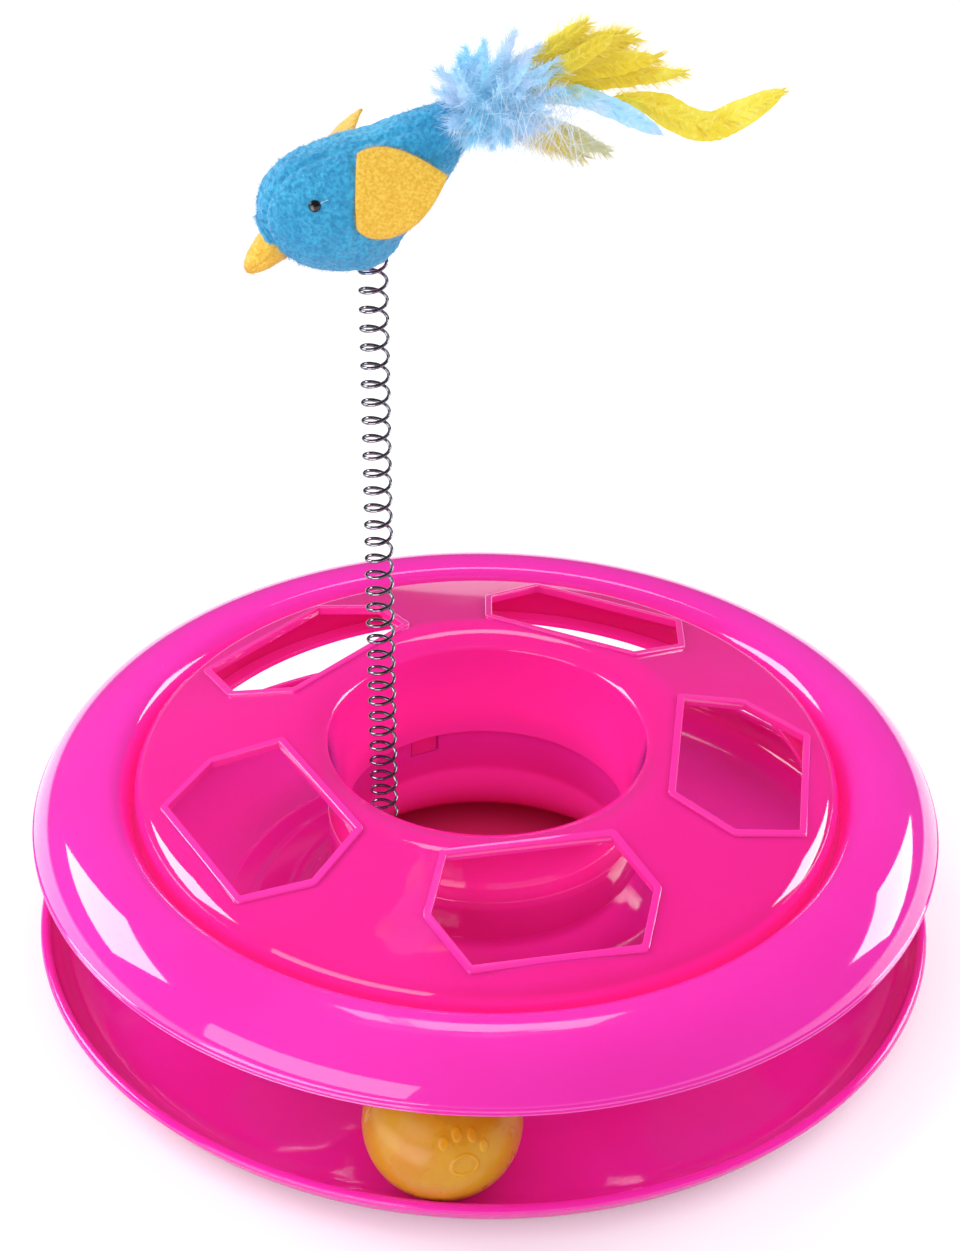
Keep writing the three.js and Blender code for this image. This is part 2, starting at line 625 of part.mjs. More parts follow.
// The plug that the spring is wound on and that stands in the socket.
function springPlug() {
  const socketTop = COLLAR_TOP - SOCKET_SINK;
  const flangeBottom = socketTop + SEAT_GAP;
  const flangeTop = flangeBottom + PLUG_FLANGE;
  const pegTop = flangeTop + PEG_HEIGHT;
  const tip = socketTop - SOCKET_DEPTH + PLUG_END_PLAY;
  const plug = revolve([
    [0, tip], [PLUG_RADIUS - PLUG_BEVEL, tip], [PLUG_RADIUS, tip + 2 * PLUG_BEVEL], [PLUG_RADIUS, flangeBottom],
    [PLUG_FLANGE_RADIUS, flangeBottom], [PLUG_FLANGE_RADIUS, flangeTop],
    [PEG_RADIUS, flangeTop], [PEG_RADIUS, pegTop - PLUG_BEVEL], [PEG_RADIUS - PLUG_BEVEL, pegTop], [0, pegTop],
  ], SMALL_SIDES);
  return plug.translate(...springFoot(), 0);
}

// The button inside the belly that closes the top of the spring.
function birdPlug(springTop) {
  const radius = POCKET_RADIUS - 2 * SEAT_GAP;
  const bottom = springTop.z + SEAT_GAP;
  const tip = bottom - BUTTON_PEG;
  const top = bottom + BUTTON_THICKNESS;
  const button = revolve([
    [0, tip], [PEG_RADIUS - PLUG_BEVEL, tip], [PEG_RADIUS, tip + PLUG_BEVEL], [PEG_RADIUS, bottom],
    [radius, bottom], [radius, top - PLUG_BEVEL], [radius - PLUG_BEVEL, top], [0, top],
  ], SMALL_SIDES);
  return button.translate(springTop.x, springTop.y, 0);
}

const line = springLine();
const springTop = springAxis(line.at(-1).z);
console.log(`Least gap of the spring to itself: ${leastGap(line).toFixed(2)} mm`);

const bird = new THREE.Group();
bird.position.set(springTop.x, springTop.y, springTop.z - SPRING_REACH);
bird.rotation.set(0, degrees(BIRD_PITCH), degrees(BIRD_HEADING), "ZYX");
bird.updateMatrixWorld(true);

// Smooth curves through the body's stations: half height and half width, and the height of the middle.
const sizeCurve = new THREE.CatmullRomCurve3(
  BODY_STATIONS.map(([ahead, , high, wide]) => new THREE.Vector3(ahead, high, wide)));
const middleCurve = new THREE.CatmullRomCurve3(
  BODY_STATIONS.map(([ahead, middle]) => new THREE.Vector3(ahead, middle, 0)));
const [tailEnd, tailHeight] = BODY_STATIONS[0];
const [faceFront] = BODY_STATIONS.at(-1);

// The stuffed form, in the bird's own frame, swelled by a distance.
function bodyForm(swell) {
  const rings = [];
  for (let i = 0; i <= BODY_STEPS; i++) {
    const size = sizeCurve.getPoint(i / BODY_STEPS);
    const middle = middleCurve.getPoint(i / BODY_STEPS).y;
    const ring = [];
    for (let j = 0; j < BODY_SIDES; j++) {
      const angle = (2 * Math.PI * j) / BODY_SIDES;
      const across = (size.z + swell) * Math.cos(angle);
      ring.push(new THREE.Vector3(size.x, across, middle + (size.y + swell) * Math.sin(angle)));
    }
    rings.push(ring);
  }
  return toManifold(loft(rings));
}

// Half width of the body at a distance ahead of the spring and a height.
function bodySide(ahead, height) {
  let low = 0;
  let high = 1;
  for (let i = 0; i < 20; i++) {
    const share = (low + high) / 2;
    if (sizeCurve.getPoint(share).x < ahead) low = share;
    else high = share;
  }
  const size = sizeCurve.getPoint(low);
  const rise = (height - middleCurve.getPoint(low).y) / size.y;
  return size.z * Math.sqrt(Math.max(0, 1 - rise ** 2));
}

// The stuffed body: swells to the head and tapers to the tail, with a pocket in the belly for the spring.
function birdBody() {
  const body = bodyForm(0).transform(bird.matrixWorld.elements);
  const ceiling = springTop.z + BUTTON_THICKNESS + 3 * SEAT_GAP;
  const middle = ceiling - POCKET_HEIGHT / 2;
  const pocket = bar(POCKET_RADIUS, springTop.x, springTop.y, ceiling - POCKET_HEIGHT, ceiling);
  const tallest = Math.max(...BODY_STATIONS.map(([, , high]) => high));
  const mouth = bar(POCKET_MOUTH, springTop.x, springTop.y, middle - tallest, middle);
  const bindingHole = tailBar(BINDING_RADIUS + SEAT_GAP, BINDING_INSIDE + SEAT_GAP, BINDING_OUTSIDE);
  return body.subtract(toManifold(pocket)).subtract(toManifold(mouth)).subtract(bindingHole);
}

// A round bar in the end of the tail, so far in and so far out.
function tailBar(radius, inside, outside) {
  const form = new THREE.CylinderGeometry(radius, radius, inside + outside, SMALL_SIDES)
    .rotateZ(Math.PI / 2)
    .translate(tailEnd + (inside - outside) / 2, 0, tailHeight);
  return toManifold(form).transform(bird.matrixWorld.elements);
}

// Puts a shape that is made in the bird's own frame in its place, cut clear of the body.
function onBird(shape) {
  return toManifold(shape).subtract(bodyForm(SEAT_GAP)).transform(bird.matrixWorld.elements);
}

// A felt wing: the front edge is sewn to the body's side, the others round off to a point at the back.
function wing(side) {
  const outline = new THREE.Shape();
  outline.moveTo(0, WING_ROOT / 2);
  outline.quadraticCurveTo(-WING_SPAN * 0.28, WING_ROOT * 0.7, -WING_SPAN, 0.06 * WING_ROOT);
  outline.quadraticCurveTo(-WING_SPAN * 0.66, -WING_ROOT * 0.5, -WING_SPAN * 0.3, -WING_ROOT * 0.56);
  outline.quadraticCurveTo(-WING_SPAN * 0.08, -WING_ROOT * 0.58, 0, -WING_ROOT * 0.42);
  outline.quadraticCurveTo(-WING_SPAN * 0.07, 0, 0, WING_ROOT / 2);
  const sheet = new THREE.ExtrudeGeometry(outline, { depth: FELT, bevelEnabled: false, curveSegments: 6 })
    .translate(0, 0, -FELT / 2)
    .rotateX(Math.PI / 2);
  const hand = side === "left" ? 1 : -1;
  const place = new THREE.Object3D();
  const spread = degrees(WING_SPREAD[side]);
  place.rotation.set(hand * degrees(WING_LEAN), degrees(-BIRD_PITCH), -hand * spread, "YZX");
  place.position.set(WING_AT[0], hand * (bodySide(...WING_AT) - WING_SEAM), WING_AT[1]);
  place.updateMatrix();
  return onBird(sheet.applyMatrix4(place.matrix));
}

// The felt beak, a flat cone with a round tip, pushed up against the face.
function beak() {
  const rings = [];
  const steps = 7;
  const sides = 12;
  for (let i = 0; i <= steps; i++) {
    const share = i / steps;
    const round = Math.sqrt(Math.max(1 - share ** 2.2, 0.012));
    const ring = [];
    for (let j = 0; j < sides; j++) {
      const angle = (2 * Math.PI * j) / sides;
      ring.push(new THREE.Vector3(
        faceFront - BEAK_ROOT + BEAK_LENGTH * share,
        BEAK_WIDTH * round * Math.cos(angle),
        BEAK_ROOT_HEIGHT - BEAK_DROP * share + BEAK_DEPTH * round * Math.sin(angle)));
    }
    rings.push(ring);
  }
  return onBird(loft(rings));
}

function eye(hand) {
  const [ahead, height] = EYE_AT;
  const bead = new THREE.SphereGeometry(EYE_RADIUS, 10, 8);
  return onBird(bead.translate(ahead, hand * bodySide(ahead, height), height));
}

// One feather: a vane that is widest past its middle, thickest along its quill.
function feather([stations, halfWidth]) {
  const points = [[0, 0, 0], ...stations].map(([back, up, side]) => new THREE.Vector3(back, side, up));
  const path = new THREE.CatmullRomCurve3(points);
  const rings = [];
  for (let i = 0; i <= VANE_STEPS; i++) {
    const share = i / VANE_STEPS;
    const along = path.getTangentAt(share);
    const flat = new THREE.Vector3(0, 1, 0).addScaledVector(along, -along.y).normalize();
    const across = flat.clone().cross(along);
    const swell = Math.sin(Math.PI * (0.02 + 0.93 * share ** 1.2)) ** 0.8;
    const wide = QUILL_RADIUS * 0.6 + halfWidth * swell * Math.min(1, 4 * share);
    const thick = (FEATHER_THICKNESS / 2) * (1 - 0.6 * share);
    const point = path.getPointAt(share);
    rings.push([[wide, 0], [0, thick], [-wide, 0], [0, -thick]].map(([w, t]) =>
      point.clone().addScaledVector(across, w).addScaledVector(flat, t)));
  }
  return toManifold(loft(rings));
}

// A tuft of feathers whose quills leave the binding together.
function tuft({ side, up, feathers }) {
  const start = tailEnd - BINDING_OUTSIDE - SEAT_GAP - QUILL_STUB;
  const root = new THREE.Vector3(start, -side, tailHeight + up).applyMatrix4(bird.matrixWorld);
  const place = new THREE.Matrix4().makeRotationZ(degrees(BIRD_HEADING + 180)).setPosition(root);
  const stub = new THREE.CylinderGeometry(QUILL_RADIUS, QUILL_RADIUS, QUILL_STUB + QUILL_RADIUS, 8)
    .rotateZ(Math.PI / 2)
    .translate((QUILL_RADIUS - QUILL_STUB) / 2, 0, 0)
    .rotateY(-degrees(BIRD_PITCH));
  const joined = feathers.reduce((sum, one) => sum.add(feather(one)), toManifold(stub));
  return joined.transform(place.elements);
}

const toy = new THREE.Group();
toy.add(
  piece("base_dish", trackDish(), pinkClear),
  piece("outer_ring", outerRing(), pinkSolid),
  piece("window_deck", windowDeck(), pinkClear),
  placeBallHalf(piece("ball_front_half", ballHalf(), amber), 0),
  placeBallHalf(piece("ball_back_half", ballHalf(), amber), 180),
  piece("spring_plug", springPlug(), pinkSolid),
  piece("spring", wire(line), steel),
  piece("bird_plug", birdPlug(springTop), pinkSolid),
  piece("bird_body", birdBody(), blueFleece),
  piece("left_wing", wing("left"), yellowFelt),
  piece("right_wing", wing("right"), yellowFelt),
  piece("beak", beak(), yellowFelt),
  piece("left_eye", eye(1), blackBead),
  piece("right_eye", eye(-1), blackBead),
  piece("feather_binding", tailBar(BINDING_RADIUS, BINDING_INSIDE, BINDING_OUTSIDE), whiteThread),
  piece("blue_tuft", tuft(BLUE_TUFT), paleBlue),
  piece("yellow_tuft", tuft(YELLOW_TUFT), lemon),
  piece("olive_tuft", tuft(OLIVE_TUFT), olive),
  piece("blue_plume", tuft(BLUE_PLUME), paleBlue),
  piece("yellow_quill", tuft(YELLOW_QUILL), lemon),
);

export default toy;
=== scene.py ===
"""Cat roundabout toy: a covered track with a ball in it, and a plush bird with a feather tail on a coil spring.

Metres, +Z up, the origin on the table under the middle of the track. Sizes are written in millimetres times MM.
"""
import math

import bmesh
import bpy
import numpy as np
from mathutils import Euler, Matrix, Vector


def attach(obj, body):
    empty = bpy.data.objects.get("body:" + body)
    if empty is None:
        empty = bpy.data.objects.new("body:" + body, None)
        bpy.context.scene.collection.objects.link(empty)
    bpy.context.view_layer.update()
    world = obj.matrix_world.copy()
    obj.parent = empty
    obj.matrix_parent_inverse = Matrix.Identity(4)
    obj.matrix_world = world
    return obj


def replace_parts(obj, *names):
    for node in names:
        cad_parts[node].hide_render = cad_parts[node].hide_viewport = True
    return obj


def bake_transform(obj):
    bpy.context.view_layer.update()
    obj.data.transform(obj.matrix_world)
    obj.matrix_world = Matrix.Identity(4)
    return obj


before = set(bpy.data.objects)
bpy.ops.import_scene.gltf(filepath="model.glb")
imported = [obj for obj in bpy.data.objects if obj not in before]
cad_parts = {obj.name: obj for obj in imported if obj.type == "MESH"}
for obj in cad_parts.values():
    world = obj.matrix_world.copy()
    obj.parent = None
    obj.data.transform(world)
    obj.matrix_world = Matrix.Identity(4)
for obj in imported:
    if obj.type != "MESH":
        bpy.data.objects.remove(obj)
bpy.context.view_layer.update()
MM = 0.001

# Camera
# It looks down on the toy from the front, with a long lens and a slight roll.
LOOK_DOWN = math.radians(33.498)
LENS_ROLL = math.radians(1.049)
CAMERA_PLACE = Vector((-2.577, -708.213, 574.181)) * MM
FOCAL_PIXELS = 3181
PICTURE_HEIGHT = 1251

camera_data = bpy.data.cameras.new("camera")
camera_data.sensor_fit = "VERTICAL"
camera_data.sensor_height = 36
camera_data.lens = FOCAL_PIXELS * camera_data.sensor_height / PICTURE_HEIGHT
camera_data.clip_start = 0.01
camera = bpy.data.objects.new("camera", camera_data)
bpy.context.scene.collection.objects.link(camera)
turned = Matrix.Rotation(math.pi / 2 - LOOK_DOWN, 4, "X") @ Matrix.Rotation(LENS_ROLL, 4, "Z")
camera.matrix_world = Matrix.Translation(CAMERA_PLACE) @ turned
bpy.context.scene.camera = camera
bpy.context.scene.view_settings.view_transform = "Standard"


# Floor, world and lamps
# A plain pale floor in a soft grey studio, painted a pink-red shade under the hub and with a painted light patch
# that only reflections see. Long softboxes stand on both sides behind the toy, a low card in front of it, and a
# soft fill and a small top lamp above.
class Value:
    """A socket of a material. Sums on it add Math nodes, and node() adds any other node."""

    def __init__(self, tree, socket=None):
        self.tree = tree
        self.socket = socket

    def node(self, kind, inputs=(), output=0, stops=(), **settings):
        """A node of this kind, its settings first, then values or links for its inputs by name or number."""
        made = self.tree.nodes.new("ShaderNode" + kind)
        for name, value in settings.items():
            setattr(made, name, value)
        for i, (place, colour) in enumerate(stops):
            if i > 1:
                made.color_ramp.elements.new(place)
            made.color_ramp.elements[i].position = place
            made.color_ramp.elements[i].color = (*colour, 1)
        for key, value in dict(inputs).items():
            if isinstance(value, Value):
                self.tree.links.new(value.socket, made.inputs[key])
            else:
                made.inputs[key].default_value = value
        return Value(self.tree, made.outputs[output])

    def math(self, operation, *others):
        return self.node("Math", enumerate((self, *others)), operation=operation)

    def axes(self):
        """The x, y and z of this place."""
        split = self.node("SeparateXYZ", {"Vector": self})
        return [Value(self.tree, socket) for socket in split.socket.node.outputs]

    def radius(self):
        """The distance of this place from the upright axis."""
        x, y, _ = self.axes()
        return (x * x + y * y).math("SQRT")

    def mix(self, low, high):
        """The colour low where this value is 0, and high where it is 1."""
        return self.node("Mix", {0: self, 6: low, 7: high}, 2, data_type="RGBA")

    def step(self, low, high):
        """0 below low, 1 above high, and smooth between them."""
        return self.node("MapRange", {"Value": self, "From Min": low, "From Max": high},
                         interpolation_type="SMOOTHSTEP")

    def noise(self, scale, detail=2.0, roughness=0.5, output=0, **settings):
        """Noise at this place, with so many features to the metre."""
        return self.node("TexNoise", {"Vector": self, "Scale": scale, "Detail": detail, "Roughness": roughness},
                         output, **settings)

    def bump(self, distance, strength=1.0):
        """A normal raised by this height, in metres for each unit."""
        return self.node("Bump", {"Height": self, "Distance": distance, "Strength": strength})

    def __add__(self, other):
        return self.math("ADD", other)

    __radd__ = __add__

    def __sub__(self, other):
        return self.math("SUBTRACT", other)

    def __rsub__(self, other):
        return (self * -1) + other

    def __mul__(self, other):
        return self.math("MULTIPLY", other)

    __rmul__ = __mul__


def tone(red, green, blue):
    """Linear colour of a tone given in display values from 0 to 255."""
    shares = np.array([red, green, blue]) / 255
    linear = np.where(shares <= 0.04045, shares / 12.92, ((shares + 0.055) / 1.055) ** 2.4)
    return (*linear.tolist(), 1.0)


def finish(name, paint, **fixed):
    """A Principled material. Fixed values are set on the shader, and paint(place) gives what varies by socket."""
    material = bpy.data.materials.new(name)
    material.use_nodes = True
    tree = material.node_tree
    shader = tree.nodes["Principled BSDF"]
    for socket, value in fixed.items():
        shader.inputs[socket.replace("_", " ")].default_value = value
    place = Value(tree).node("TexCoord", output="Object")
    for socket, value in paint(place).items():
        tree.links.new(value.socket, shader.inputs[socket.replace("_", " ")])
    return material


def full_turn(steps):
    """Angles round a full turn, without a last one that would be the first again."""
    return np.linspace(0, 2 * math.pi, steps, endpoint=False)


def quads(rows, columns, wrap_rows=False):
    """Corner numbers of the faces of a grid whose last column joins the first, as its last row may."""
    row = np.arange(rows if wrap_rows else rows - 1)[:, None]
    column = np.arange(columns)[None, :]
    right = (column + 1) % columns
    up = (row + 1) % rows
    corners = (row * columns + column, row * columns + right, up * columns + right, up * columns + column)
    return np.stack([np.broadcast_to(corner, (row.size, column.size)) for corner in corners], -1).reshape(-1, 4)


def joined(grid, wrap_rows=False):
    """Rows of points that each close round, joined in turn: (points, faces)."""
    return grid.reshape(-1, 3), quads(*grid.shape[:2], wrap_rows)


def new_piece(name, parts, material=None, sharp=35):
    """A mesh object of (points, faces) parts, with doubled points merged and edges past an angle left sharp."""
    mesh = bpy.data.meshes.new(name)
    starts = np.cumsum([0] + [len(points) for points, _ in parts])
    points = np.concatenate([points for points, _ in parts])
    faces = np.concatenate([corners + start for (_, corners), start in zip(parts, starts)])
    mesh.from_pydata(points.tolist(), [], faces.tolist())
    soft = bmesh.new()
    soft.from_mesh(mesh)
    bmesh.ops.remove_doubles(soft, verts=soft.verts, dist=0.2e-6)
    bmesh.ops.recalc_face_normals(soft, faces=soft.faces)
    soft.to_mesh(mesh)
    soft.free()
    piece = bpy.data.objects.new(name, mesh)
    bpy.context.scene.collection.objects.link(piece)
    soften(piece, sharp)
    if material:
        mesh.materials.append(material)
    return piece


def soften(piece, sharp):
    """Smooth shading, apart from edges that turn by more than an angle."""
    piece.data.shade_smooth()
    piece.data.set_sharp_from_angle(angle=math.radians(sharp))


FLOOR_RADIUS = 4.0
FLOOR_SIDES = 96
FLOOR_TONE = tone(232, 231, 233)
PAINTED_HUB_SHADE = tone(250, 60, 140)   # painted pink-red shade on the floor inside the hub, for light that has come through pink walls
SHADE_ENDS = (0.085, 0.1)     # radii between which that shade gives way to the plain floor
FLOOR_GLOW = 0.3              # the floor's own paleness as it is looked at
MIRRORED_GLOW = 0.12          # and in a reflection or behind a clear wall
PAINTED_LIGHT_PATCH = (-148, -101)      # directions of a painted light patch: the floor glows there only in reflections, beyond a radius
PAINTED_LIGHT_PATCH_START = 0.17
PAINTED_LIGHT_PATCH_BLUR = (0.01, 0.004)   # softness of its edges, in radians and in metres
PAINTED_LIGHT_PATCH_GLOW = 3.5
WORLD_TONE = tone(214.8, 214.8, 218.8)
REFLECTED_WORLD = 0.12        # how bright the studio's dark walls are in reflections

around = full_turn(FLOOR_SIDES)
floor_rings = np.array([0, 0.1, 1.0])[:, None] * FLOOR_RADIUS
floor_grid = np.stack([floor_rings * np.cos(around), floor_rings * np.sin(around), 0 * floor_rings * around], -1)
floor = new_piece("studio_floor", [joined(floor_grid)])
floor.data.flip_normals()
floor_material = bpy.data.materials.new("pale_floor")
floor_material.use_nodes = True
floor.data.materials.append(floor_material)
tree = floor_material.node_tree
shader = tree.nodes["Principled BSDF"]
shader.inputs["Roughness"].default_value = 0.8
rays = Value(tree).node("LightPath").socket.node.outputs
mirrored = Value(tree, rays["Is Glossy Ray"])
spot = Value(tree).node("TexCoord", output="Object")
out = spot.radius()
# Painted shade: inside SHADE_ENDS the floor is coloured a deep pink-red and its glow is taken out.
shade = out.step(*SHADE_ENDS)
tree.links.new(shade.mix(PAINTED_HUB_SHADE, FLOOR_TONE).socket, shader.inputs["Base Color"])
seen = Value(tree, rays["Is Camera Ray"]) * FLOOR_GLOW
seen = seen + (mirrored + Value(tree, rays["Is Transmission Ray"])) * MIRRORED_GLOW
# Painted light: a glow on the floor that only reflections see, in a patch in front on the left.
x, y, _ = spot.axes()
turn = y.math("ARCTAN2", x)
first, last = (math.radians(side) for side in PAINTED_LIGHT_PATCH)
blur, fade = PAINTED_LIGHT_PATCH_BLUR
patch = turn.step(first - blur, first + blur) * turn.step(last + blur, last - blur)
patch = patch * out.step(PAINTED_LIGHT_PATCH_START, PAINTED_LIGHT_PATCH_START + fade)
seen = seen + patch * mirrored * PAINTED_LIGHT_PATCH_GLOW
glow = Value(tree).node("Emission", {"Color": FLOOR_TONE, "Strength": seen * shade})
plain = Value(tree, shader.outputs[0])
both = plain.node("AddShader", {0: plain, 1: glow})
tree.links.new(both.socket, tree.nodes["Material Output"].inputs["Surface"])

world = bpy.data.worlds.new("grey_studio")
bpy.context.scene.world = world
world.use_nodes = True
sky = world.node_tree.nodes["Background"].inputs
sky["Color"].default_value = WORLD_TONE
strength = 1 - Value(world.node_tree).node("LightPath", output="Is Glossy Ray") * (1 - REFLECTED_WORLD)
world.node_tree.links.new(strength.socket, sky["Strength"])


def softbox(name, first, last, width, radiance, mirror=(0, 0, 0), reflected=True):
    """A long lamp between two points, facing the place that mirrors it, with the same brightness all over."""
    first, last = Vector(first), Vector(last)
    middle = (first + last) / 2
    lamp = bpy.data.lights.new(name, "AREA")
    lamp.shape = "RECTANGLE"
    lamp.size = (last - first).length
    lamp.size_y = width
    lamp.energy = radiance * math.pi * lamp.size * lamp.size_y
    holder = bpy.data.objects.new(name, lamp)
    bpy.context.scene.collection.objects.link(holder)
    along = (last - first).normalized()
    back = middle - Vector(mirror)
    back = (back - back.project(along)).normalized()
    turn = Matrix((along, back.cross(along), back)).transposed().to_4x4()
    holder.matrix_world = Matrix.Translation(middle) @ turn
    holder.visible_camera = False
    holder.visible_glossy = reflected


softbox("left_softbox", (-1.11, -0.02, 0.59), (-0.76, 0.55, 0.65), 0.46, 7.2, mirror=(-0.099, -0.06, 0.055))
softbox("right_softbox", (1.16, 0.19, 0.33), (0.75, 0.68, 0.55), 0.4, 7, mirror=(0.106, -0.049, 0.054))
softbox("front_card", (-1.01, -0.53, 0.33), (-0.29, -1.14, 0.33), 0.4, 2.2, mirror=(-0.042, -0.112, 0.049))
softbox("front_fill", (-0.57, -0.68, 0.8), (0.57, -0.68, 0.8), 1.0, 0.72, reflected=False)
softbox("top_softbox", (0.15, 0.6, 1.06), (-0.15, 0.6, 1.06), 0.22, 2.5)


# Track dish
# One clear pink moulding: a rolled rim, the track floor, three moulded rings, a foot ring, and an open flared hub
# that ends in a collar with three key notches. Inside the hub a web carries the socket for the spring.
def arc(centre, radii, start, end, steps=24):
    """Points of an ellipse about a centre, from one angle to another, in degrees."""
    angle = np.radians(np.linspace(start, end, steps + 1))
    return np.array(centre) + np.stack([np.cos(angle), np.sin(angle)], -1) * radii


def bend(first, corner, last, steps=24):
    """A quadratic curve that leaves the first point towards the corner and arrives from it at the last."""
    t = np.linspace(0, 1, steps + 1)[:, None]
    first, corner, last = np.array([first, corner, last], float)
    return (1 - t) ** 2 * first + 2 * t * (1 - t) * corner + t ** 2 * last


def unit(vectors):
    """The same directions with a length of 1: each vector divided by its own length."""
    return vectors / np.maximum(np.linalg.norm(vectors, axis=-1, keepdims=True), 1e-12)


def shifted(profile, distance):
    """A profile moved to its left, square to its own direction at each point."""
    along = unit(np.gradient(np.asarray(profile, float), axis=0))
    return profile + np.stack([-along[:, 1], along[:, 0]], -1) * distance


def eased(outline, radius, steps=4):
    """A closed outline with its corners of over 20 degrees rounded.

    Each corner becomes a quadratic curve between the points that lie the radius, or 0.45 of the side where that
    is less, before and after it.
    """
    outline = np.asarray(outline, float)
    before = np.roll(outline, 1, 0) - outline
    after = np.roll(outline, -1, 0) - outline
    long_before = np.linalg.norm(before, axis=1)
    long_after = np.linalg.norm(after, axis=1)
    straight = -(before * after).sum(1) / (long_before * long_after)
    reach = np.where(straight < math.cos(math.radians(20)), np.minimum(long_before, long_after) * 0.45, 0)
    reach = np.minimum(reach, radius)
    start = (outline + before * (reach / long_before)[:, None])[:, None]
    end = (outline + after * (reach / long_after)[:, None])[:, None]
    t = np.linspace(0, 1, steps + 1)[None, :, None]
    points = ((1 - t) ** 2 * start + 2 * t * (1 - t) * outline[:, None] + t ** 2 * end).reshape(-1, 2)
    apart = np.linalg.norm(points - np.roll(points, 1, 0), axis=1)
    return points[apart > 1e-3]


def revolved(profile, about=(0, 0), steps=288):
    """A closed profile of [radius, height] in millimetres, carried round an upright axis at a place."""
    angle = full_turn(steps)
    radius, height = np.asarray(profile, float).T
    grid = np.stack([about[0] + np.outer(radius, np.cos(angle)), about[1] + np.outer(radius, np.sin(angle)),
                     np.outer(height, np.ones(steps))], -1)
    return joined(grid * MM, wrap_rows=True)


def closed_rings(rings):
    """Rings of points in metres joined in a row, with both ends drawn shut to their middles."""
    ends = [np.broadcast_to(ring.mean(0), ring.shape) for ring in (rings[0], rings[-1])]
    return joined(np.concatenate([ends[0][None], rings, ends[1][None]]))


def block(inner, outer, width, bottom, top, azimuth, ease=0.3):
    """A box that points out from the axis: its eased outline carried across its width, smaller at the ends."""
    middle = np.array([inner + outer, bottom + top]) / 2
    half = np.array([outer - inner, top - bottom]) / 2
    outline = eased([-half, [half[0], -half[1]], half, [-half[0], half[1]]], ease)
    across = np.array([-width / 2, -width / 2 + ease, width / 2 - ease, width / 2])[:, None]
    shrink = 1 - np.array([ease, 0, 0, ease])[:, None, None] / half
    radius, height = np.moveaxis(middle + outline * shrink, -1, 0)
    turn = math.radians(azimuth)
    rings = np.stack([radius * math.cos(turn) - across * math.sin(turn),
                      radius * math.sin(turn) + across * math.cos(turn), height], -1)
    return closed_rings(rings * MM)


def combine(piece, tool, operation, sharp=35):
    """Adds a closed mesh to a piece (UNION) or cuts it away (DIFFERENCE), and keeps the result as its mesh."""
    cutter = piece.modifiers.new("cut", "BOOLEAN")
    cutter.operation = operation
    cutter.solver = "MANIFOLD"
    cutter.object = tool
    bpy.context.view_layer.update()
    mesh = bpy.data.meshes.new_from_object(piece.evaluated_get(bpy.context.evaluated_depsgraph_get()))
    piece.modifiers.clear()
    piece.data, spent = mesh, piece.data
    bpy.data.meshes.remove(spent)
    bpy.data.objects.remove(tool)
    soften(piece, sharp)


def moulding(light, deep, gloss):
    """Moulded plastic: a faint flow of deeper colour, a haze of small rubs, and a very fine grain."""
    def paint(place):
        flow = place.noise(9, 3).step(0.3, 0.7)
        haze = place.noise(60, 4, 0.6).step(0.45, 0.8)
        rubs = place.node("Mapping", {"Vector": place, "Scale": (1, 0.06, 1), "Rotation": (0, 0, 0.6)})
        scratch = rubs.noise(2600, 1, 0.4).step(0.72, 0.8) * place.noise(25, 1).step(0.5, 0.6)
        grain = place.noise(700, 2) * 0.4 + scratch * -1
        return {"Base_Color": flow.mix(light, deep), "Roughness": haze * 0.07 + gloss + scratch * 0.2,
                "Normal": grain.bump(0.004 * MM)}
    return paint


COLLAR_TOP = 43
HUB_BORE = 39.5
COLLAR_OUTER = 41.3
DISH_WALL = 2
RIM_MIDDLE = (123.2, 11.2)
RIM_BEAD = 1.5
FOOT_RING = (89.5, 94.5)
KEY_AZIMUTHS = (117, 237, 357)
NOTCH_WIDTH = 8.8
NOTCH_BOTTOM = 37.5
SPRING_FOOT = (-27.40, -15.00)
SPRING_AZIMUTH = 208.7
SPRING_AWAY = 31.24
SOCKET_BORE = 3.3
SOCKET_WALL = 2
SOCKET_HEIGHTS = (23, 25, 37)   # underside, bottom of the bore and top
WEB_THICKNESS = 3
WEB_TOP = 33

# Painted glow in the clear mouldings, and a painted shade band where two walls overlap
WELL_EDGE = (40 * MM, 46 * MM)     # radii between which the painted glow in the well fades out
COLLAR_BAND = (30 * MM, 43 * MM)   # heights of a painted shade band, where two walls hold the painted glow back
BAND_HOLDS = 0.85                  # share of the painted glow that the band takes out
DECK_EDGE_RADII = (95.5 * MM, 97 * MM)   # where the painted glow shows again, at the deck's edge
DECK_EDGE_HEIGHTS = (40 * MM, 44 * MM)
PAINTED_WELL_GLOW = tone(255, 62, 190)


def clear_moulding(light, deep, place):
    """The same, with a painted glow in the well, the hub and the deck's edge, standing in for light that the clear
    walls lead there.
    """
    high = place.axes()[2]
    radius = place.radius()
    low, top = COLLAR_BAND
    painted_shade_band = high.step(low - 2 * MM, low + MM) * high.step(top + MM, top)
    painted_glow = (1 - painted_shade_band * BAND_HOLDS) * (1 - radius.step(*WELL_EDGE))
    painted_glow = painted_glow + radius.step(*DECK_EDGE_RADII) * high.step(*DECK_EDGE_HEIGHTS)
    return moulding(light, deep, 0.05)(place) | {"Emission_Color": painted_glow.mix((0, 0, 0, 1), PAINTED_WELL_GLOW)}


CLEAR = {"IOR": 1.5, "Coat_Roughness": 0.03, "Transmission_Weight": 0.06, "Subsurface_Weight": 0.7,
         "Subsurface_Radius": (1.0, 0.3, 0.5), "Subsurface_Scale": 2.5 * MM}
# The dish is painted a more magenta pink than the deck, as light from the magenta ring above it; its emission is
# the painted glow of clear_moulding.
clear_pink = finish("clear_pink", lambda place: clear_moulding(tone(250, 46, 182), tone(244, 38, 168), place),
                    Emission_Strength=0.16, Coat_Weight=0.3, **CLEAR)

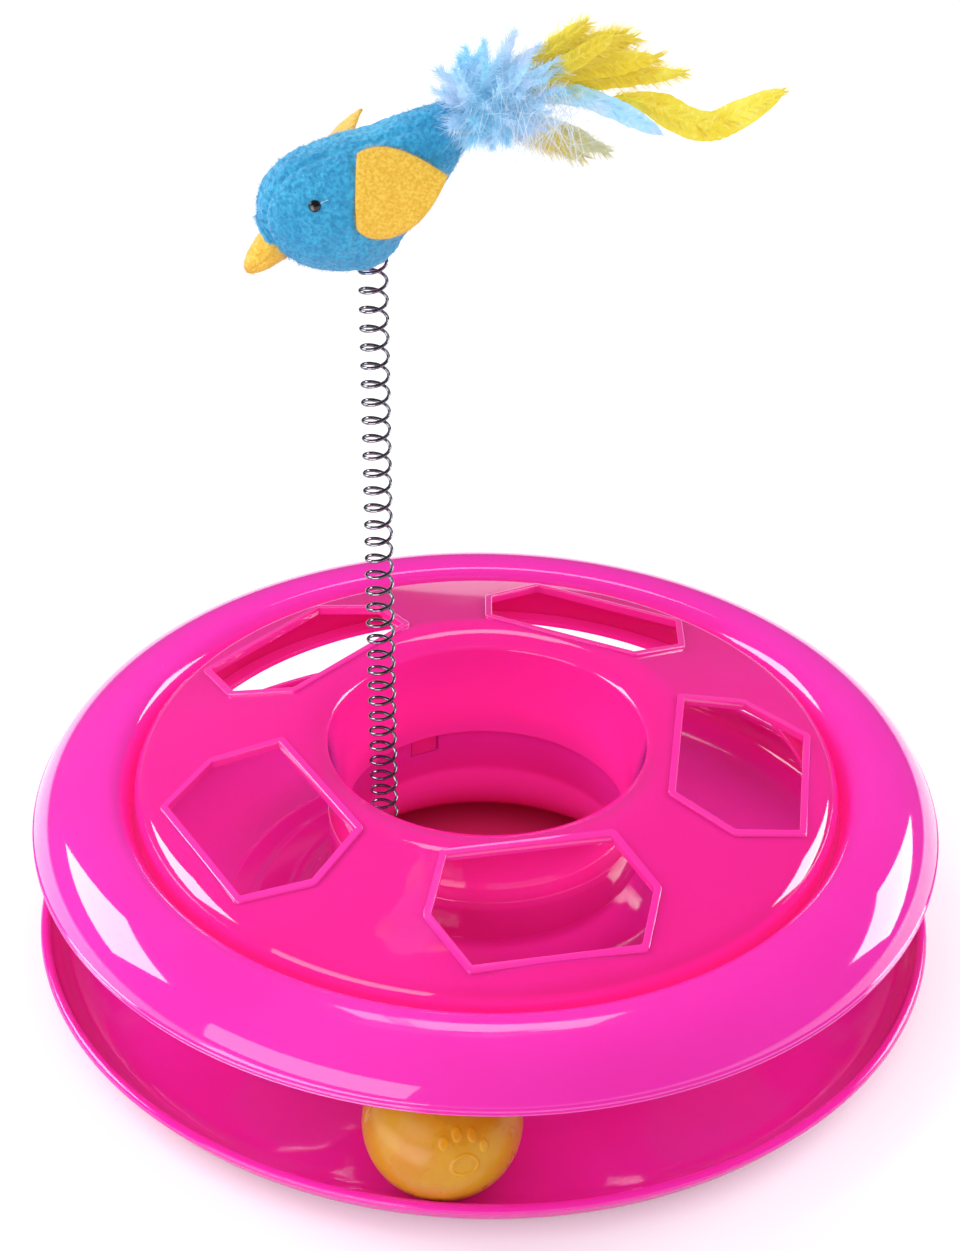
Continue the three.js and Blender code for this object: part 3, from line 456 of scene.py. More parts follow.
top_face = np.concatenate([
    [[COLLAR_OUTER, COLLAR_TOP], [COLLAR_OUTER + 0.3, 33]],
    bend((42.3, 28), (46.3, 9.2), (58, 9.2)),
    [[64.4, 9.2], [65, 8.9], [66.4, 8.2], [67.2, 7.8], [72.6, 7.8], [73.2, 7.5], [74.4, 6.7], [75.4, 6.2]],
    bend((76.4, 6), (88, 2.6), (103.4, 2.6)),
    bend((108.4, 2.7), (119.7, 3.6), (121.7, 11.2)),
])
under_face = shifted(top_face, -DISH_WALL)[::-1]
under_face[-1] = HUB_BORE, COLLAR_TOP
under_face[0] = 122.3, 9.2
outside = under_face[under_face[:, 0] >= FOOT_RING[1]]
inside = under_face[under_face[:, 0] <= FOOT_RING[0]]
rim = arc(RIM_MIDDLE, (RIM_BEAD, RIM_BEAD), 150, -90, 20)
foot_face = [[FOOT_RING[1], 0], [FOOT_RING[0], 0]]
dish_profile = eased(np.concatenate([top_face, rim, outside, foot_face, inside])[::-1], 0.4)

track_dish = new_piece("track_dish", [revolved(dish_profile)], clear_pink)
for azimuth in KEY_AZIMUTHS:
    notch = block(HUB_BORE - 3, COLLAR_OUTER + 3, NOTCH_WIDTH, NOTCH_BOTTOM, COLLAR_TOP + 3, azimuth)
    combine(track_dish, new_piece("notch", [notch]), "DIFFERENCE")
bottom, bore_bottom, top = SOCKET_HEIGHTS
socket_outline = [(0, bottom), (SOCKET_BORE + SOCKET_WALL, bottom), (SOCKET_BORE + SOCKET_WALL, top),
                  (SOCKET_BORE, top), (SOCKET_BORE, bore_bottom), (0, bore_bottom)]
web = block(SPRING_AWAY + SOCKET_BORE + 1, HUB_BORE + 1.1, WEB_THICKNESS, bottom + 0.2, WEB_TOP, SPRING_AZIMUTH)
combine(track_dish, new_piece("web", [web]), "UNION")
socket = revolved(eased(socket_outline, 0.4), SPRING_FOOT, 64)
combine(track_dish, new_piece("socket", [socket]), "UNION")
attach(track_dish, "base")
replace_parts(track_dish, "base_dish")


# Ball
# Two hollow amber halves, blown thin and welded at the seam, with a paw raised on the front half. The plastic is
# cloudy, and paler streaks run through it.
BALL_MIDDLE = np.array([-9.82, -103.94, 23.5])
BALL_RADIUS = 20.5
BALL_WALL = 1.4
BALL_POLE_AZIMUTH = -75
SEAM_GAP = 0.15               # from the joint's plane to each half
PAW_RELIEF = 0.4
PAW_PLACE = (-73, 8)          # azimuth and elevation of the middle of the pad
# Toes and pad on the ball's face, in degrees right of and above that place, and their half sizes
PAW_TOES = [(-15, 18, 3.6, 5.0), (-4.5, 24, 3.8, 5.4), (8, 21.5, 3.6, 5.2), (16, 11, 3.4, 4.8)]
PAW_PAD = (0, 0, 9.5, 8)
FACE_RINGS = 150
INNER_RINGS = 30
BALL_SIDES = 200
WELD = (0.02, 0.08, 0.18, 0.32)   # how far the last rings before the seam are drawn in


def smooth(share):
    """A share from 0 to 1 that leaves and arrives gently: three times its square less twice its cube."""
    return share ** 2 * (3 - 2 * share)


def ball_half(turn):
    """Rings round the pole: from its tip over the outer face and back inside, raised where the paw is."""
    tilt = math.radians(turn + BALL_POLE_AZIMUTH)
    pole = np.array([math.cos(tilt), math.sin(tilt), 0])
    level = np.array([-math.sin(tilt), math.cos(tilt), 0])
    upright = np.array([0, 0, 1])
    inner_radius = BALL_RADIUS - BALL_WALL
    seam = math.acos(SEAM_GAP / BALL_RADIUS)
    polar = np.concatenate([np.linspace(0, seam - 0.012, FACE_RINGS), np.linspace(seam - 0.008, seam, len(WELD)),
                            np.linspace(seam, 0, INNER_RINGS)])
    radius = np.concatenate([np.full(FACE_RINGS, BALL_RADIUS), BALL_RADIUS - np.array(WELD),
                             np.full(INNER_RINGS, inner_radius)])
    angle = full_turn(BALL_SIDES)
    out = (np.cos(polar)[:, None, None] * pole
           + np.sin(polar)[:, None, None] * (np.cos(angle)[None, :, None] * level
                                             + np.sin(angle)[None, :, None] * upright))
    right = np.degrees(np.arctan2(out[..., 1], out[..., 0])) - PAW_PLACE[0]
    above = np.degrees(np.arcsin(np.clip(out[..., 2], -1, 1))) - PAW_PLACE[1]
    relief = np.zeros(right.shape)
    for x, y, wide, high in PAW_TOES:
        far = np.hypot((right - x) / wide, (above - y) / high)
        relief = np.maximum(relief, np.clip((1.15 - far) / 0.3, 0, 1))
    x, y, wide, high = PAW_PAD
    far = np.hypot((right - x) / wide, (above - y + 0.012 * (right - x) ** 2) / high)
    relief = np.maximum(relief, np.clip(1 - np.abs(far - 1) / 0.2, 0, 1))
    relief = smooth(relief) * PAW_RELIEF * (radius > inner_radius + 1)[:, None]
    return joined((BALL_MIDDLE + out * (radius[:, None] + relief)[..., None]) * MM)


def cloudy(place):
    """Cloudy amber: pale clouds, small dents, and painted shade that turns it a deeper orange towards the bottom.
    """
    cloud = place.noise(38, 4, 0.6).step(0.35, 0.72)
    base = cloud.mix(tone(224, 138, 8), tone(238, 166, 22))
    high = place.axes()[2]
    return {"Base_Color": high.step(2 * MM, 16 * MM).mix(tone(228, 112, 4), base),
            "Roughness": cloud * 0.12 + 0.24, "Normal": place.noise(160, 2).bump(0.12 * MM, 0.6)}


amber = finish("cloudy_amber", cloudy, IOR=1.45, Transmission_Weight=0.05, Subsurface_Weight=0.9,
               Subsurface_Radius=(1.0, 0.5, 0.08), Subsurface_Scale=6 * MM)
for name, turn, node in (("ball_face", 0, "ball_front_half"), ("ball_back", 180, "ball_back_half")):
    half = new_piece(name, [ball_half(turn)], amber)
    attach(half, "ball")
    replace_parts(half, node)


# Outer ring
# One solid pink moulding: a rolled roof over the ball's path, with a lip and two fine raised lines outside, and a
# flange inside whose five slots take the deck's hooks.
RING_EDGE = 125
RING_WALL = 1.8
RING_BORE = 97.5
RING_CREST = (105.8, 58.2)
ROLL_OUTSIDE = ((124.3, 46.2), (119.8, 57.6))   # foot of the outer flank, and the corner that it bends round
ROLL_INSIDE = ((98.6, 58.5), (97.5, 48))        # corner that the inner wall bends round, and its foot
LIP_BOTTOM = 43.6
FLANGE_INNER = 91
FLANGE_HEIGHTS = (46.4, 48)
HOOK_AZIMUTHS = [-41.55 + 72 * i for i in range(5)]
SLOT = (92.2, 94.5, 9.8)      # inner and outer radius, and width
# Two fine raised lines: the lip's outer face from the bottom up, as distances in from the edge and heights
LIP_LINES = [(0.5, 0), (0.1, 0.3), (0.1, 0.7), (0.45, 1.0), (0.45, 1.2), (0.1, 1.5), (0.1, 1.9), (0.6, 2.3)]
PAINTED_SEAM_GLOW = (101 * MM, 98 * MM)   # radii inside which a painted red glow shows, for light from the clear deck on the ring's bore


def solid_moulding(place):
    """Solid pink, with a painted red glow inside a radius: on the ring's bore where the clear deck meets it, and
    all over the plug and the button, which lie nearer the axis.
    """
    near = place.radius().step(*PAINTED_SEAM_GLOW)
    return moulding(tone(242, 54, 184), tone(238, 46, 174), 0.06)(place) | {
        "Emission_Color": near.mix((0, 0, 0, 1), tone(255, 30, 130))}


solid_pink = finish("solid_pink", solid_moulding, Emission_Strength=0.25,
                    IOR=1.5, Coat_Weight=1.0, Coat_Roughness=0.03, Subsurface_Weight=0.35,
                    Subsurface_Radius=(1.0, 0.15, 0.7), Subsurface_Scale=2 * MM)

roll_top = np.concatenate([
    bend(*ROLL_OUTSIDE, RING_CREST, 48), bend(RING_CREST, *ROLL_INSIDE, 44)[1:],
])
roll = np.concatenate([
    [(RING_EDGE - inwards, LIP_BOTTOM + up) for inwards, up in LIP_LINES],
    roll_top, [[FLANGE_INNER, FLANGE_HEIGHTS[1]]],
    [[FLANGE_INNER, FLANGE_HEIGHTS[0]], [RING_BORE + RING_WALL, FLANGE_HEIGHTS[0]]],
    shifted(roll_top, RING_WALL)[::-2], [[RING_EDGE - RING_WALL, LIP_BOTTOM]],
])
rolled_ring = new_piece("rolled_ring", [revolved(eased(roll, 0.25))], solid_pink)
for azimuth in HOOK_AZIMUTHS:
    slot = block(*SLOT, FLANGE_HEIGHTS[0] - 2, FLANGE_HEIGHTS[1] + 2, azimuth)
    combine(rolled_ring, new_piece("slot", [slot]), "DIFFERENCE")
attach(rolled_ring, "cover")
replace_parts(rolled_ring, "outer_ring")


# Window deck
# One clear pink moulding: a sloping disc with a round shoulder, five six-sided windows with raised rims, and a
# tapered well that stands on the collar. Its skirt and keys go round the collar, its hooks through the flange.
DECK_WALL = 1.8
DECK_EDGE = 96.7
DECK_EDGE_BOTTOM = 48
SHOULDER = ((90.7, 54.44), 6)
SHOULDER_START = 73.3
FILLET = ((52.36, 56.96), 14.6)
FILLET_END = 124
MOUTH_EDGE = ((44.98, 67.90), 1.4)
WELL_LIP = (38.6, 43.3, 44.3)  # bore, underside and top
SKIRT = (41.9, 43.7, 33.8)     # inner and outer radius and bottom
WINDOW_AZIMUTHS = [-77.55 + 72 * i for i in range(5)]
WINDOW_CORNERS = np.array([(55.7, 24.7), (76, 24.5), (91.2, 14.8)])
WINDOW_RIM = (2, 0.9)          # width and height
OPENING_CUT = (40, 80)         # heights that a window's cut reaches between
CORNER_EASE = 1.2
KEY = (39.5, 42.8, 8, 37.8, 43.8)
HOOK = (92.6, 94.1, 9)         # inner and outer radius, and width
HOOK_HEIGHTS = (44.5, 46.1, 51.7, 55.7)


def deck_top():
    """The top face from the mouth of the well out to the deck's edge."""
    fillet = arc(FILLET[0], (FILLET[1],) * 2, FILLET_END, SHOULDER_START, 30)
    shoulder = arc(SHOULDER[0], (SHOULDER[1],) * 2, SHOULDER_START, 0, 24)
    return np.concatenate([fillet, shoulder])


def window_outline(azimuth, inwards):
    """A window's outline on the floor plan, with eased corners, moved in from its outer edge by a distance."""
    radius = np.concatenate([WINDOW_CORNERS[:, 0], WINDOW_CORNERS[::-1, 0]])
    turn = np.radians(azimuth + np.concatenate([-WINDOW_CORNERS[:, 1], WINDOW_CORNERS[::-1, 1]]))
    outline = eased(np.stack([radius * np.cos(turn), radius * np.sin(turn)], -1), CORNER_EASE, 6)
    into = np.roll(outline, -1, 0) - outline
    left = unit(np.stack([-into[:, 1], into[:, 0]], -1))
    before = np.roll(left, 1, 0)
    corner = (left + before) / (1 + (left * before).sum(1, keepdims=True))
    return outline + corner * np.expand_dims(inwards, -1)


def window_rim(azimuth):
    """A section of width and height carried round the window's outline, at the height of the deck's face."""
    wide, high = WINDOW_RIM
    section = eased([(0, -1.2), (wide, -1.75), (wide, high), (0, high)], 0.3, 4)
    profile = deck_top()
    plan = np.stack([window_outline(azimuth, inwards) for inwards in section[:, 0]], 1)
    face = np.interp(np.linalg.norm(plan, axis=-1), profile[:, 0], profile[:, 1])
    return joined(np.concatenate([plan, (face + section[:, 1])[..., None]], -1) * MM, wrap_rows=True)


def upright(outline, bottom, top):
    """A closed outline on the floor plan carried straight up between two heights."""
    heights = np.array([bottom, top], float)[:, None, None]
    flat = np.broadcast_to(outline, (2, *outline.shape))
    return closed_rings(np.concatenate([flat, np.broadcast_to(heights, (2, len(outline), 1))], -1) * MM)


top_face = deck_top()
mouth = arc(MOUTH_EDGE[0], (MOUTH_EDGE[1],) * 2, 176, FILLET_END, 8)
lower_face = shifted(top_face, -DECK_WALL)[::-1]
well_bore, lip_bottom, lip_top = WELL_LIP
skirt_inner, skirt_outer, skirt_bottom = SKIRT
deck_profile = np.concatenate([
    [(well_bore, lip_top)], mouth, top_face[1:], [(DECK_EDGE, DECK_EDGE_BOTTOM)],
    [(DECK_EDGE - DECK_WALL, DECK_EDGE_BOTTOM)], lower_face,
    [(well_bore + DECK_WALL, lip_top + 2 * DECK_WALL), (skirt_outer, lip_top + DECK_WALL)],
    [(skirt_outer, skirt_bottom), (skirt_inner, skirt_bottom), (skirt_inner, lip_bottom), (well_bore, lip_bottom)],
])
# Its emission is the painted glow of clear_moulding.
deck_pink = finish("deck_pink", lambda place: clear_moulding(tone(246, 40, 158), tone(240, 32, 146), place),
                   Emission_Strength=0.19, Coat_Weight=1.0, **CLEAR)
deck = new_piece("deck", [revolved(eased(deck_profile[::-1], 0.3))], deck_pink)
for azimuth in WINDOW_AZIMUTHS:
    opening = upright(window_outline(azimuth, WINDOW_RIM[0] / 2), *OPENING_CUT)
    combine(deck, new_piece("opening", [opening]), "DIFFERENCE")
for azimuth in KEY_AZIMUTHS:
    combine(deck, new_piece("key", [block(*KEY, azimuth)]), "UNION")
hook_inner, hook_outer, hook_width = HOOK
catch_bottom, catch_top, root_bottom, root_top = HOOK_HEIGHTS
for azimuth in HOOK_AZIMUTHS:
    stem = block(hook_inner, hook_outer, hook_width, catch_bottom, root_top, azimuth, 0.2)
    root = block(hook_inner + 0.1, hook_outer + 1.7, hook_width - 0.2, root_bottom, root_top - 0.1, azimuth, 0.2)
    barb = block(hook_inner + 0.1, hook_outer + 1.1, hook_width - 0.2, catch_bottom + 0.1, catch_top, azimuth, 0.2)
    for part in (stem, root, barb):
        combine(deck, new_piece("hook", [part]), "UNION")
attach(deck, "cover")
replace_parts(deck, "window_deck")

# The rims are painted a lighter pink than the deck: a painted highlight for the light that the raised rims catch.
painted_lit_edge = finish("painted_lit_edge", moulding(tone(254, 54, 168), tone(252, 44, 158), 0.04),
                  IOR=1.5, Coat_Weight=1.0, Coat_Roughness=0.02)
rims = new_piece("window_rims", [window_rim(azimuth) for azimuth in WINDOW_AZIMUTHS], painted_lit_edge)
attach(rims, "cover")
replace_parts(rims, "window_deck")


# Spring plug
# A small pink plug: its stem stands in the hub's socket, and the spring's first curls are pressed over its peg.
PLUG_OUTLINE = [(0, 26), (2.3, 26), (3, 27.4), (3, 37.3), (5, 37.3), (5, 38.9), (2.2, 38.9), (2.2, 49.2),
                (1.5, 49.9), (0, 49.9)]

plug = new_piece("plug_in_socket", [revolved(eased(PLUG_OUTLINE, 0.3), SPRING_FOOT, 64)], solid_pink)
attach(plug, "wand")
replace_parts(plug, "spring_plug")


# Spring
# Bright drawn wire wound in 36 and a half open curls, a little wider apart towards the top, and leaning with the
# weight of the bird.
SPRING_HEIGHTS = (39.2, 224.41)
SPRING_STUB = 0.9
SPRING_CURLS = 36.5
SPRING_RADIUS = 3.35
WIRE_RADIUS = 0.45
SPRING_LEAN = -0.0156
CURL_GROWTH = 0.55            # how much further apart the last curls are than the first
CURL_STEPS = 36


def tube(path, guide, radius, sides=12):
    """A round section carried along a path, turned to keep to a guide direction: (points, faces), in metres."""
    along = unit(np.gradient(path, axis=0))
    side = unit(guide - (guide * along).sum(1, keepdims=True) * along)
    up = np.cross(along, side)
    angle = full_turn(sides)[None, :, None]
    radius = np.broadcast_to(radius, len(path))[:, None, None]
    return closed_rings(path[:, None] + (side[:, None] * np.cos(angle) + up[:, None] * np.sin(angle)) * radius)


def spring_line():
    """The wire's middle: upright stubs, and between them curls whose rise grows steadily with the angle."""
    low, high = SPRING_HEIGHTS
    curl = np.linspace(0, SPRING_CURLS, int(SPRING_CURLS * CURL_STEPS) + 1)
    length = high - low - 2 * SPRING_STUB
    growth = CURL_GROWTH / 2 / SPRING_CURLS
    first_rise = length / SPRING_CURLS - growth * SPRING_CURLS
    height = low + SPRING_STUB + first_rise * curl + growth * curl ** 2
    height = np.concatenate([[low, low + 0.5 * SPRING_STUB], height, [high - 0.5 * SPRING_STUB, high]])
    curl = np.concatenate([[0, 0], curl, [SPRING_CURLS] * 2])
    outward = np.stack([np.cos(2 * math.pi * curl), np.sin(2 * math.pi * curl), 0 * curl], -1)
    axis = np.stack([SPRING_FOOT[0] + SPRING_LEAN * (height - low), 0 * height + SPRING_FOOT[1], height], -1)
    return (axis + outward * SPRING_RADIUS) * MM, outward


def drawn_wire(place):
    """Bright wire with a faint drawn grain and slightly duller spots."""
    dull = place.noise(900, 2).step(0.45, 0.75)
    return {"Base_Color": dull.mix(tone(140, 140, 148), tone(92, 92, 100)), "Roughness": dull * 0.12 + 0.1,
            "Normal": place.noise(5000, 1).bump(0.004 * MM)}


bright_wire = finish("bright_wire", drawn_wire, Metallic=1.0)
wire_path, wire_guide = spring_line()
coil = new_piece("coil_spring", [tube(wire_path, wire_guide, WIRE_RADIUS * MM)], bright_wire, sharp=60)
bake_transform(coil)
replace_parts(coil, "spring")


# Bird plug
# A pink button with a peg, pressed into the top of the spring and hidden in the bird's belly.
SPRING_TOP = (-30.29, -15.00)
BUTTON_OUTLINE = [(0, 220.6), (1.5, 220.6), (2.2, 221.3), (2.2, 224.7), (5.2, 224.7), (5.2, 226), (4.5, 226.7),
                  (0, 226.7)]

button = new_piece("belly_button", [revolved(eased(BUTTON_OUTLINE, 0.25), SPRING_TOP, 64)], solid_pink)
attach(button, "perch")
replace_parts(button, "bird_plug")


# Bird body
# Blue fleece sewn from two sides and a narrow crown strip, stuffed round, with a short granular nap. The seams
# draw in the crown and the neck, and the belly is gathered round the top of the spring.
BIRD_PLACE = np.array([-30.29, -15.00, 219.01])
BIRD_PITCH = math.radians(30.4)
BIRD_HEADING = math.radians(192)
BIRD_TURN = np.array(Euler((0, BIRD_PITCH, BIRD_HEADING)).to_matrix())
# Stations from the tail: distance ahead of the spring, middle height, half height, half width
BODY_STATIONS = np.array([
    (-37.5, 22.4, 4.6, 4.2), (-30, 20.8, 8.6, 7.3), (-18, 19.9, 12.5, 10.3), (-8, 19.2, 16, 12),
    (1, 19.8, 16.9, 12.6), (8, 20.8, 14.4, 11.2), (13, 21.8, 10, 8.2), (16, 22.6, 4.6, 3.9),
])
BODY_GRID = (300, 480)         # from tail to face, and round
CROWN_STRIP = 4.6              # half width
NECK_AT = (-8, 25)             # a point of the neck seam: ahead and up
SEAM_DEPTH = 0.5
SEAM_WIDTH = 0.8
SEAM_PUFF = 0.2
TAIL_ROUND = 1.2               # reach of the round ends
FACE_ROUND = 1.4
NAP_GRAIN = ((1.4, 0.27), (0.7, 0.18))   # size and height of the nap's lumps
STUFFING = (9, 0.35)           # and of the soft swells of the stuffing
POCKET_CEILING = 227.8
POCKET_REACH = 9.5             # radius of the belly that is drawn in round the spring
BELLY_LOW = 221.8              # the belly hangs this low there, under the button
# Share of the reach, then the radius that it is drawn to, and the same for how far it is lifted to the ceiling
POCKET_RADII = ([0, 0.3, 0.36, 0.44, 0.5, 0.66, 1], [0, 5.6, 5.6, 4.5, 4.3, 5.4, POCKET_REACH])
POCKET_LIFTS = ([0, 0.3, 0.36, 0.44, 0.5, 0.58, 0.8, 1], [1, 1, 0.9, 0.3, 0.12, 0.03, 0, 0])
NAP_FIBRES = 9000


def through(stations, share):
    """A smooth curve through stations: in each span a cubic that keeps the slopes of its neighbours."""
    spans = len(stations) - 1
    at = np.clip(share, 0, 1) * spans
    index = np.clip(np.floor(at).astype(int), 0, spans - 1)
    t = (at - index)[..., None]
    before, first = stations[np.maximum(index - 1, 0)], stations[index]
    last, after = stations[index + 1], stations[np.minimum(index + 2, spans)]
    return first + 0.5 * t * (last - before + t * (2 * before - 5 * first + 4 * last - after
                                                   + t * (3 * first - before - 3 * last + after)))


def lumps(points, size, seed):
    """Smooth noise from -1 to 1: seeded numbers on a lattice of this size, blended between its eight corners."""
    table = np.random.default_rng(seed).uniform(-1, 1, (64, 64, 64))
    cell = np.asarray(points) / size
    low = np.floor(cell).astype(int)
    t = cell - low
    t = smooth(t)
    total = 0
    for corner in np.ndindex(2, 2, 2):
        weight = np.prod(np.where(corner, t, 1 - t), axis=-1)
        total = total + weight * table[tuple(np.moveaxis((low + corner) % 64, -1, 0))]
    return total


def grid_normals(grid):
    """Unit normals of a grid that closes round its second direction, from the slopes both ways."""
    rows = np.gradient(grid, axis=0)
    padded = np.concatenate([grid[:, -1:], grid, grid[:, :1]], axis=1)
    return unit(np.cross(padded[:, 2:] - padded[:, :-2], rows))


def on_bird(points):
    """Points of the bird's own frame, ahead, to the left and up in millimetres, put in their place in metres."""
    return (BIRD_PLACE + points @ BIRD_TURN.T) * MM


def body_side(ahead, height):
    """Half width of the body at a distance ahead of the spring and a height."""
    share = np.linspace(0, 1, 400)
    station = through(BODY_STATIONS, share)
    middle, high, wide = (np.interp(ahead, station[:, 0], station[:, i]) for i in (1, 2, 3))
    return wide * np.sqrt(np.clip(1 - ((height - middle) / high) ** 2, 0, 1))


def body_grid():
    """Ellipses through the stations, closed by round ends, drawn in along the seams and at the belly's pocket."""
    rows, columns = BODY_GRID
    share = np.linspace(0, 1, rows)
    station = through(BODY_STATIONS, share)
    end = np.linspace(0, math.pi / 2, 14)[:-1]
    tail, face = (
        np.stack([ahead + reach * np.cos(end), middle + 0 * end, high * np.sin(end), wide * np.sin(end)], -1)
        for (ahead, middle, high, wide), reach in zip(BODY_STATIONS[[0, -1]], (-TAIL_ROUND, FACE_ROUND)))
    station = np.concatenate([tail, station, face[::-1]])
    angle = full_turn(columns)
    ahead, middle, high, wide = station.T[:, :, None]
    grid = np.stack(np.broadcast_arrays(ahead, wide * np.cos(angle), middle + high * np.sin(angle)), -1)
    normal = grid_normals(grid)
    crown = np.abs(np.abs(grid[..., 1]) - CROWN_STRIP) / SEAM_WIDTH
    crown = np.where(grid[..., 2] > middle, crown, 9)
    ahead_of_neck = ((grid[..., 0] - NECK_AT[0]) * math.cos(BIRD_PITCH)
                     + (grid[..., 2] - NECK_AT[1]) * math.sin(BIRD_PITCH))
    neck = np.where(np.abs(grid[..., 1]) > CROWN_STRIP, np.abs(ahead_of_neck) / SEAM_WIDTH, 9)
    seam = np.exp(-np.minimum(crown, neck) ** 2) * SEAM_DEPTH
    puff = np.exp(-(np.minimum(crown, neck) / 4) ** 2) * SEAM_PUFF
    grid = grid + normal * (puff - seam)[..., None]
    for i, (size, height) in enumerate(NAP_GRAIN):
        grid = grid + normal * (lumps(grid, size, 11 + i) * height)[..., None]
    grid = grid + normal * (lumps(grid, STUFFING[0], 15) * STUFFING[1])[..., None]
    world = on_bird(grid) / MM
    away = world[..., :2] - SPRING_TOP
    far = np.linalg.norm(away, axis=-1)
    near = (far < POCKET_REACH) & (world[..., 2] < POCKET_CEILING)
    share = far / POCKET_REACH
    hang = smooth(np.clip((12 - far) / 6, 0, 1)) * (world[..., 2] < POCKET_CEILING)
    world[..., 2] += hang * np.clip(BELLY_LOW - world[..., 2], -2.4, 0)
    radius = np.interp(share, *POCKET_RADII)
    lift = np.interp(share, *POCKET_LIFTS)
    lifted = world[..., 2] + lift * (POCKET_CEILING - world[..., 2])
    drawn = np.concatenate([SPRING_TOP + away / np.maximum(far, 1e-6)[..., None] * radius[..., None],
                            lifted[..., None]], -1)
    return np.where(near[..., None], drawn, world) * MM, on_bird(grid + normal) - on_bird(grid)


def strands(paths, guides, radii, sides=3):
    """Thin closed hairs: a small section carried along each path, shut at the root and pointed at the tip.

    paths is (hairs, points, 3), guides (hairs, 3) a direction that lies across each hair, radii (hairs, points).
    """
    along = unit(np.gradient(paths, axis=1))
    side = unit(guides[:, None] - (guides[:, None] * along).sum(-1, keepdims=True) * along)
    up = np.cross(along, side)
    angle = full_turn(sides)[:, None]
    around = side[:, :, None] * np.cos(angle) + up[:, :, None] * np.sin(angle)
    rings = paths[:, :, None] + around * radii[:, :, None, None]
    first = np.broadcast_to(paths[:, :1, None], (len(paths), 1, sides, 3))
    last = np.broadcast_to(paths[:, -1:, None], (len(paths), 1, sides, 3))
    grid = np.concatenate([first, rings[:, :-1], last], axis=1)
    face = quads(grid.shape[1], sides)
    faces = (np.arange(len(paths))[:, None, None] * grid.shape[1] * sides + face[None]).reshape(-1, 4)
    return grid.reshape(-1, 3), faces


def fibres(roots, directions, length, radius, seed):
    """Short bent hairs of random length that start just under a surface and lean at random."""
    rng = np.random.default_rng(seed)
    count = len(roots)
    lean = rng.normal(0, 0.55, (count, 3))
    curl = rng.normal(0, 0.5, (count, 3))
    t = np.linspace(-0.15, 1, 4)[None, :, None]
    size = (length * rng.uniform(0.5, 1.3, count))[:, None, None]
    straight = unit(directions) + lean
    paths = roots[:, None] + size * (straight[:, None] * t + curl[:, None] * t * t)
    radii = radius * np.broadcast_to(np.linspace(1, 0.35, 4), (count, 4))
    return strands(paths, rng.normal(0, 1, (count, 3)), radii)


def fleece_paint(place):
    """Mottled blue pile: pale tips, deeper between the tufts, with larger soft patches."""
    fine = place.noise(1000, 3, 0.6).step(0.36, 0.66)
    patch = place.noise(90, 3).step(0.3, 0.7)
    base = patch.mix(tone(40, 160, 206), tone(66, 180, 220))
    return {"Base_Color": fine.mix(tone(32, 138, 188), base), "Normal": place.noise(2600, 2).bump(0.15 * MM)}


fleece = finish("blue_fleece", fleece_paint, Roughness=0.95, Sheen_Weight=0.5, Sheen_Roughness=0.6,
                Sheen_Tint=tone(190, 232, 250))
body_points, body_out = body_grid()
body = new_piece("fleece_body", [joined(body_points)], fleece)
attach(body, "bird")
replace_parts(body, "bird_body")

rng = np.random.default_rng(5)
rows, columns = body_points.shape[:2]
pick = (rng.integers(8, rows - 8, NAP_FIBRES), rng.integers(0, columns, NAP_FIBRES))
keep = np.linalg.norm(body_points[pick][:, :2] / MM - SPRING_TOP, axis=1) > 6
pile = fibres(body_points[pick][keep], body_out[pick][keep], 0.75 * MM, 0.035 * MM, 6)
nap = new_piece("fleece_nap", [pile], fleece)
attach(nap, "bird")
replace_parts(nap, "bird_body")


# Wings
# Yellow craft felt, 1.3 mm thick, cut in a rounded leaf shape. The straight edge is sewn into the neck seam.
FELT = 1.3
WING_ROOT = 19
WING_SPAN = 21.5
WING_SPREAD = math.radians(12)
WING_LEAN = math.radians(18)
FAR_SPAN = Vector((0.4, 0.8, 0.46)).normalized()     # the way the far wing's tip and outer face point
FAR_FACE = Vector((-0.74, 0.14, 0.65)).normalized()
WING_SEAM = -0.4               # how deep the root lies in the fleece
WING_WRAP = 0.02               # how much a wing curves with the body, for each millimetre squared
SPOKE = 46                     # points from the middle of a wing's face to its rim


def felt_paint(place):
    """Golden felt: flecked yellow with darker orange specks."""
    fleck = place.noise(1300, 3, 0.65).step(0.35, 0.68)
    speck = place.noise(2400, 2).step(0.62, 0.75)
    base = fleck.mix(tone(226, 174, 48), tone(244, 204, 82))
    return {"Base_Color": (speck * 0.5).mix(base, tone(206, 130, 32)),
            "Normal": place.noise(3000, 2).bump(0.1 * MM)}


felt = finish("yellow_felt", felt_paint, Roughness=0.95, Sheen_Weight=0.3, Sheen_Roughness=0.5)


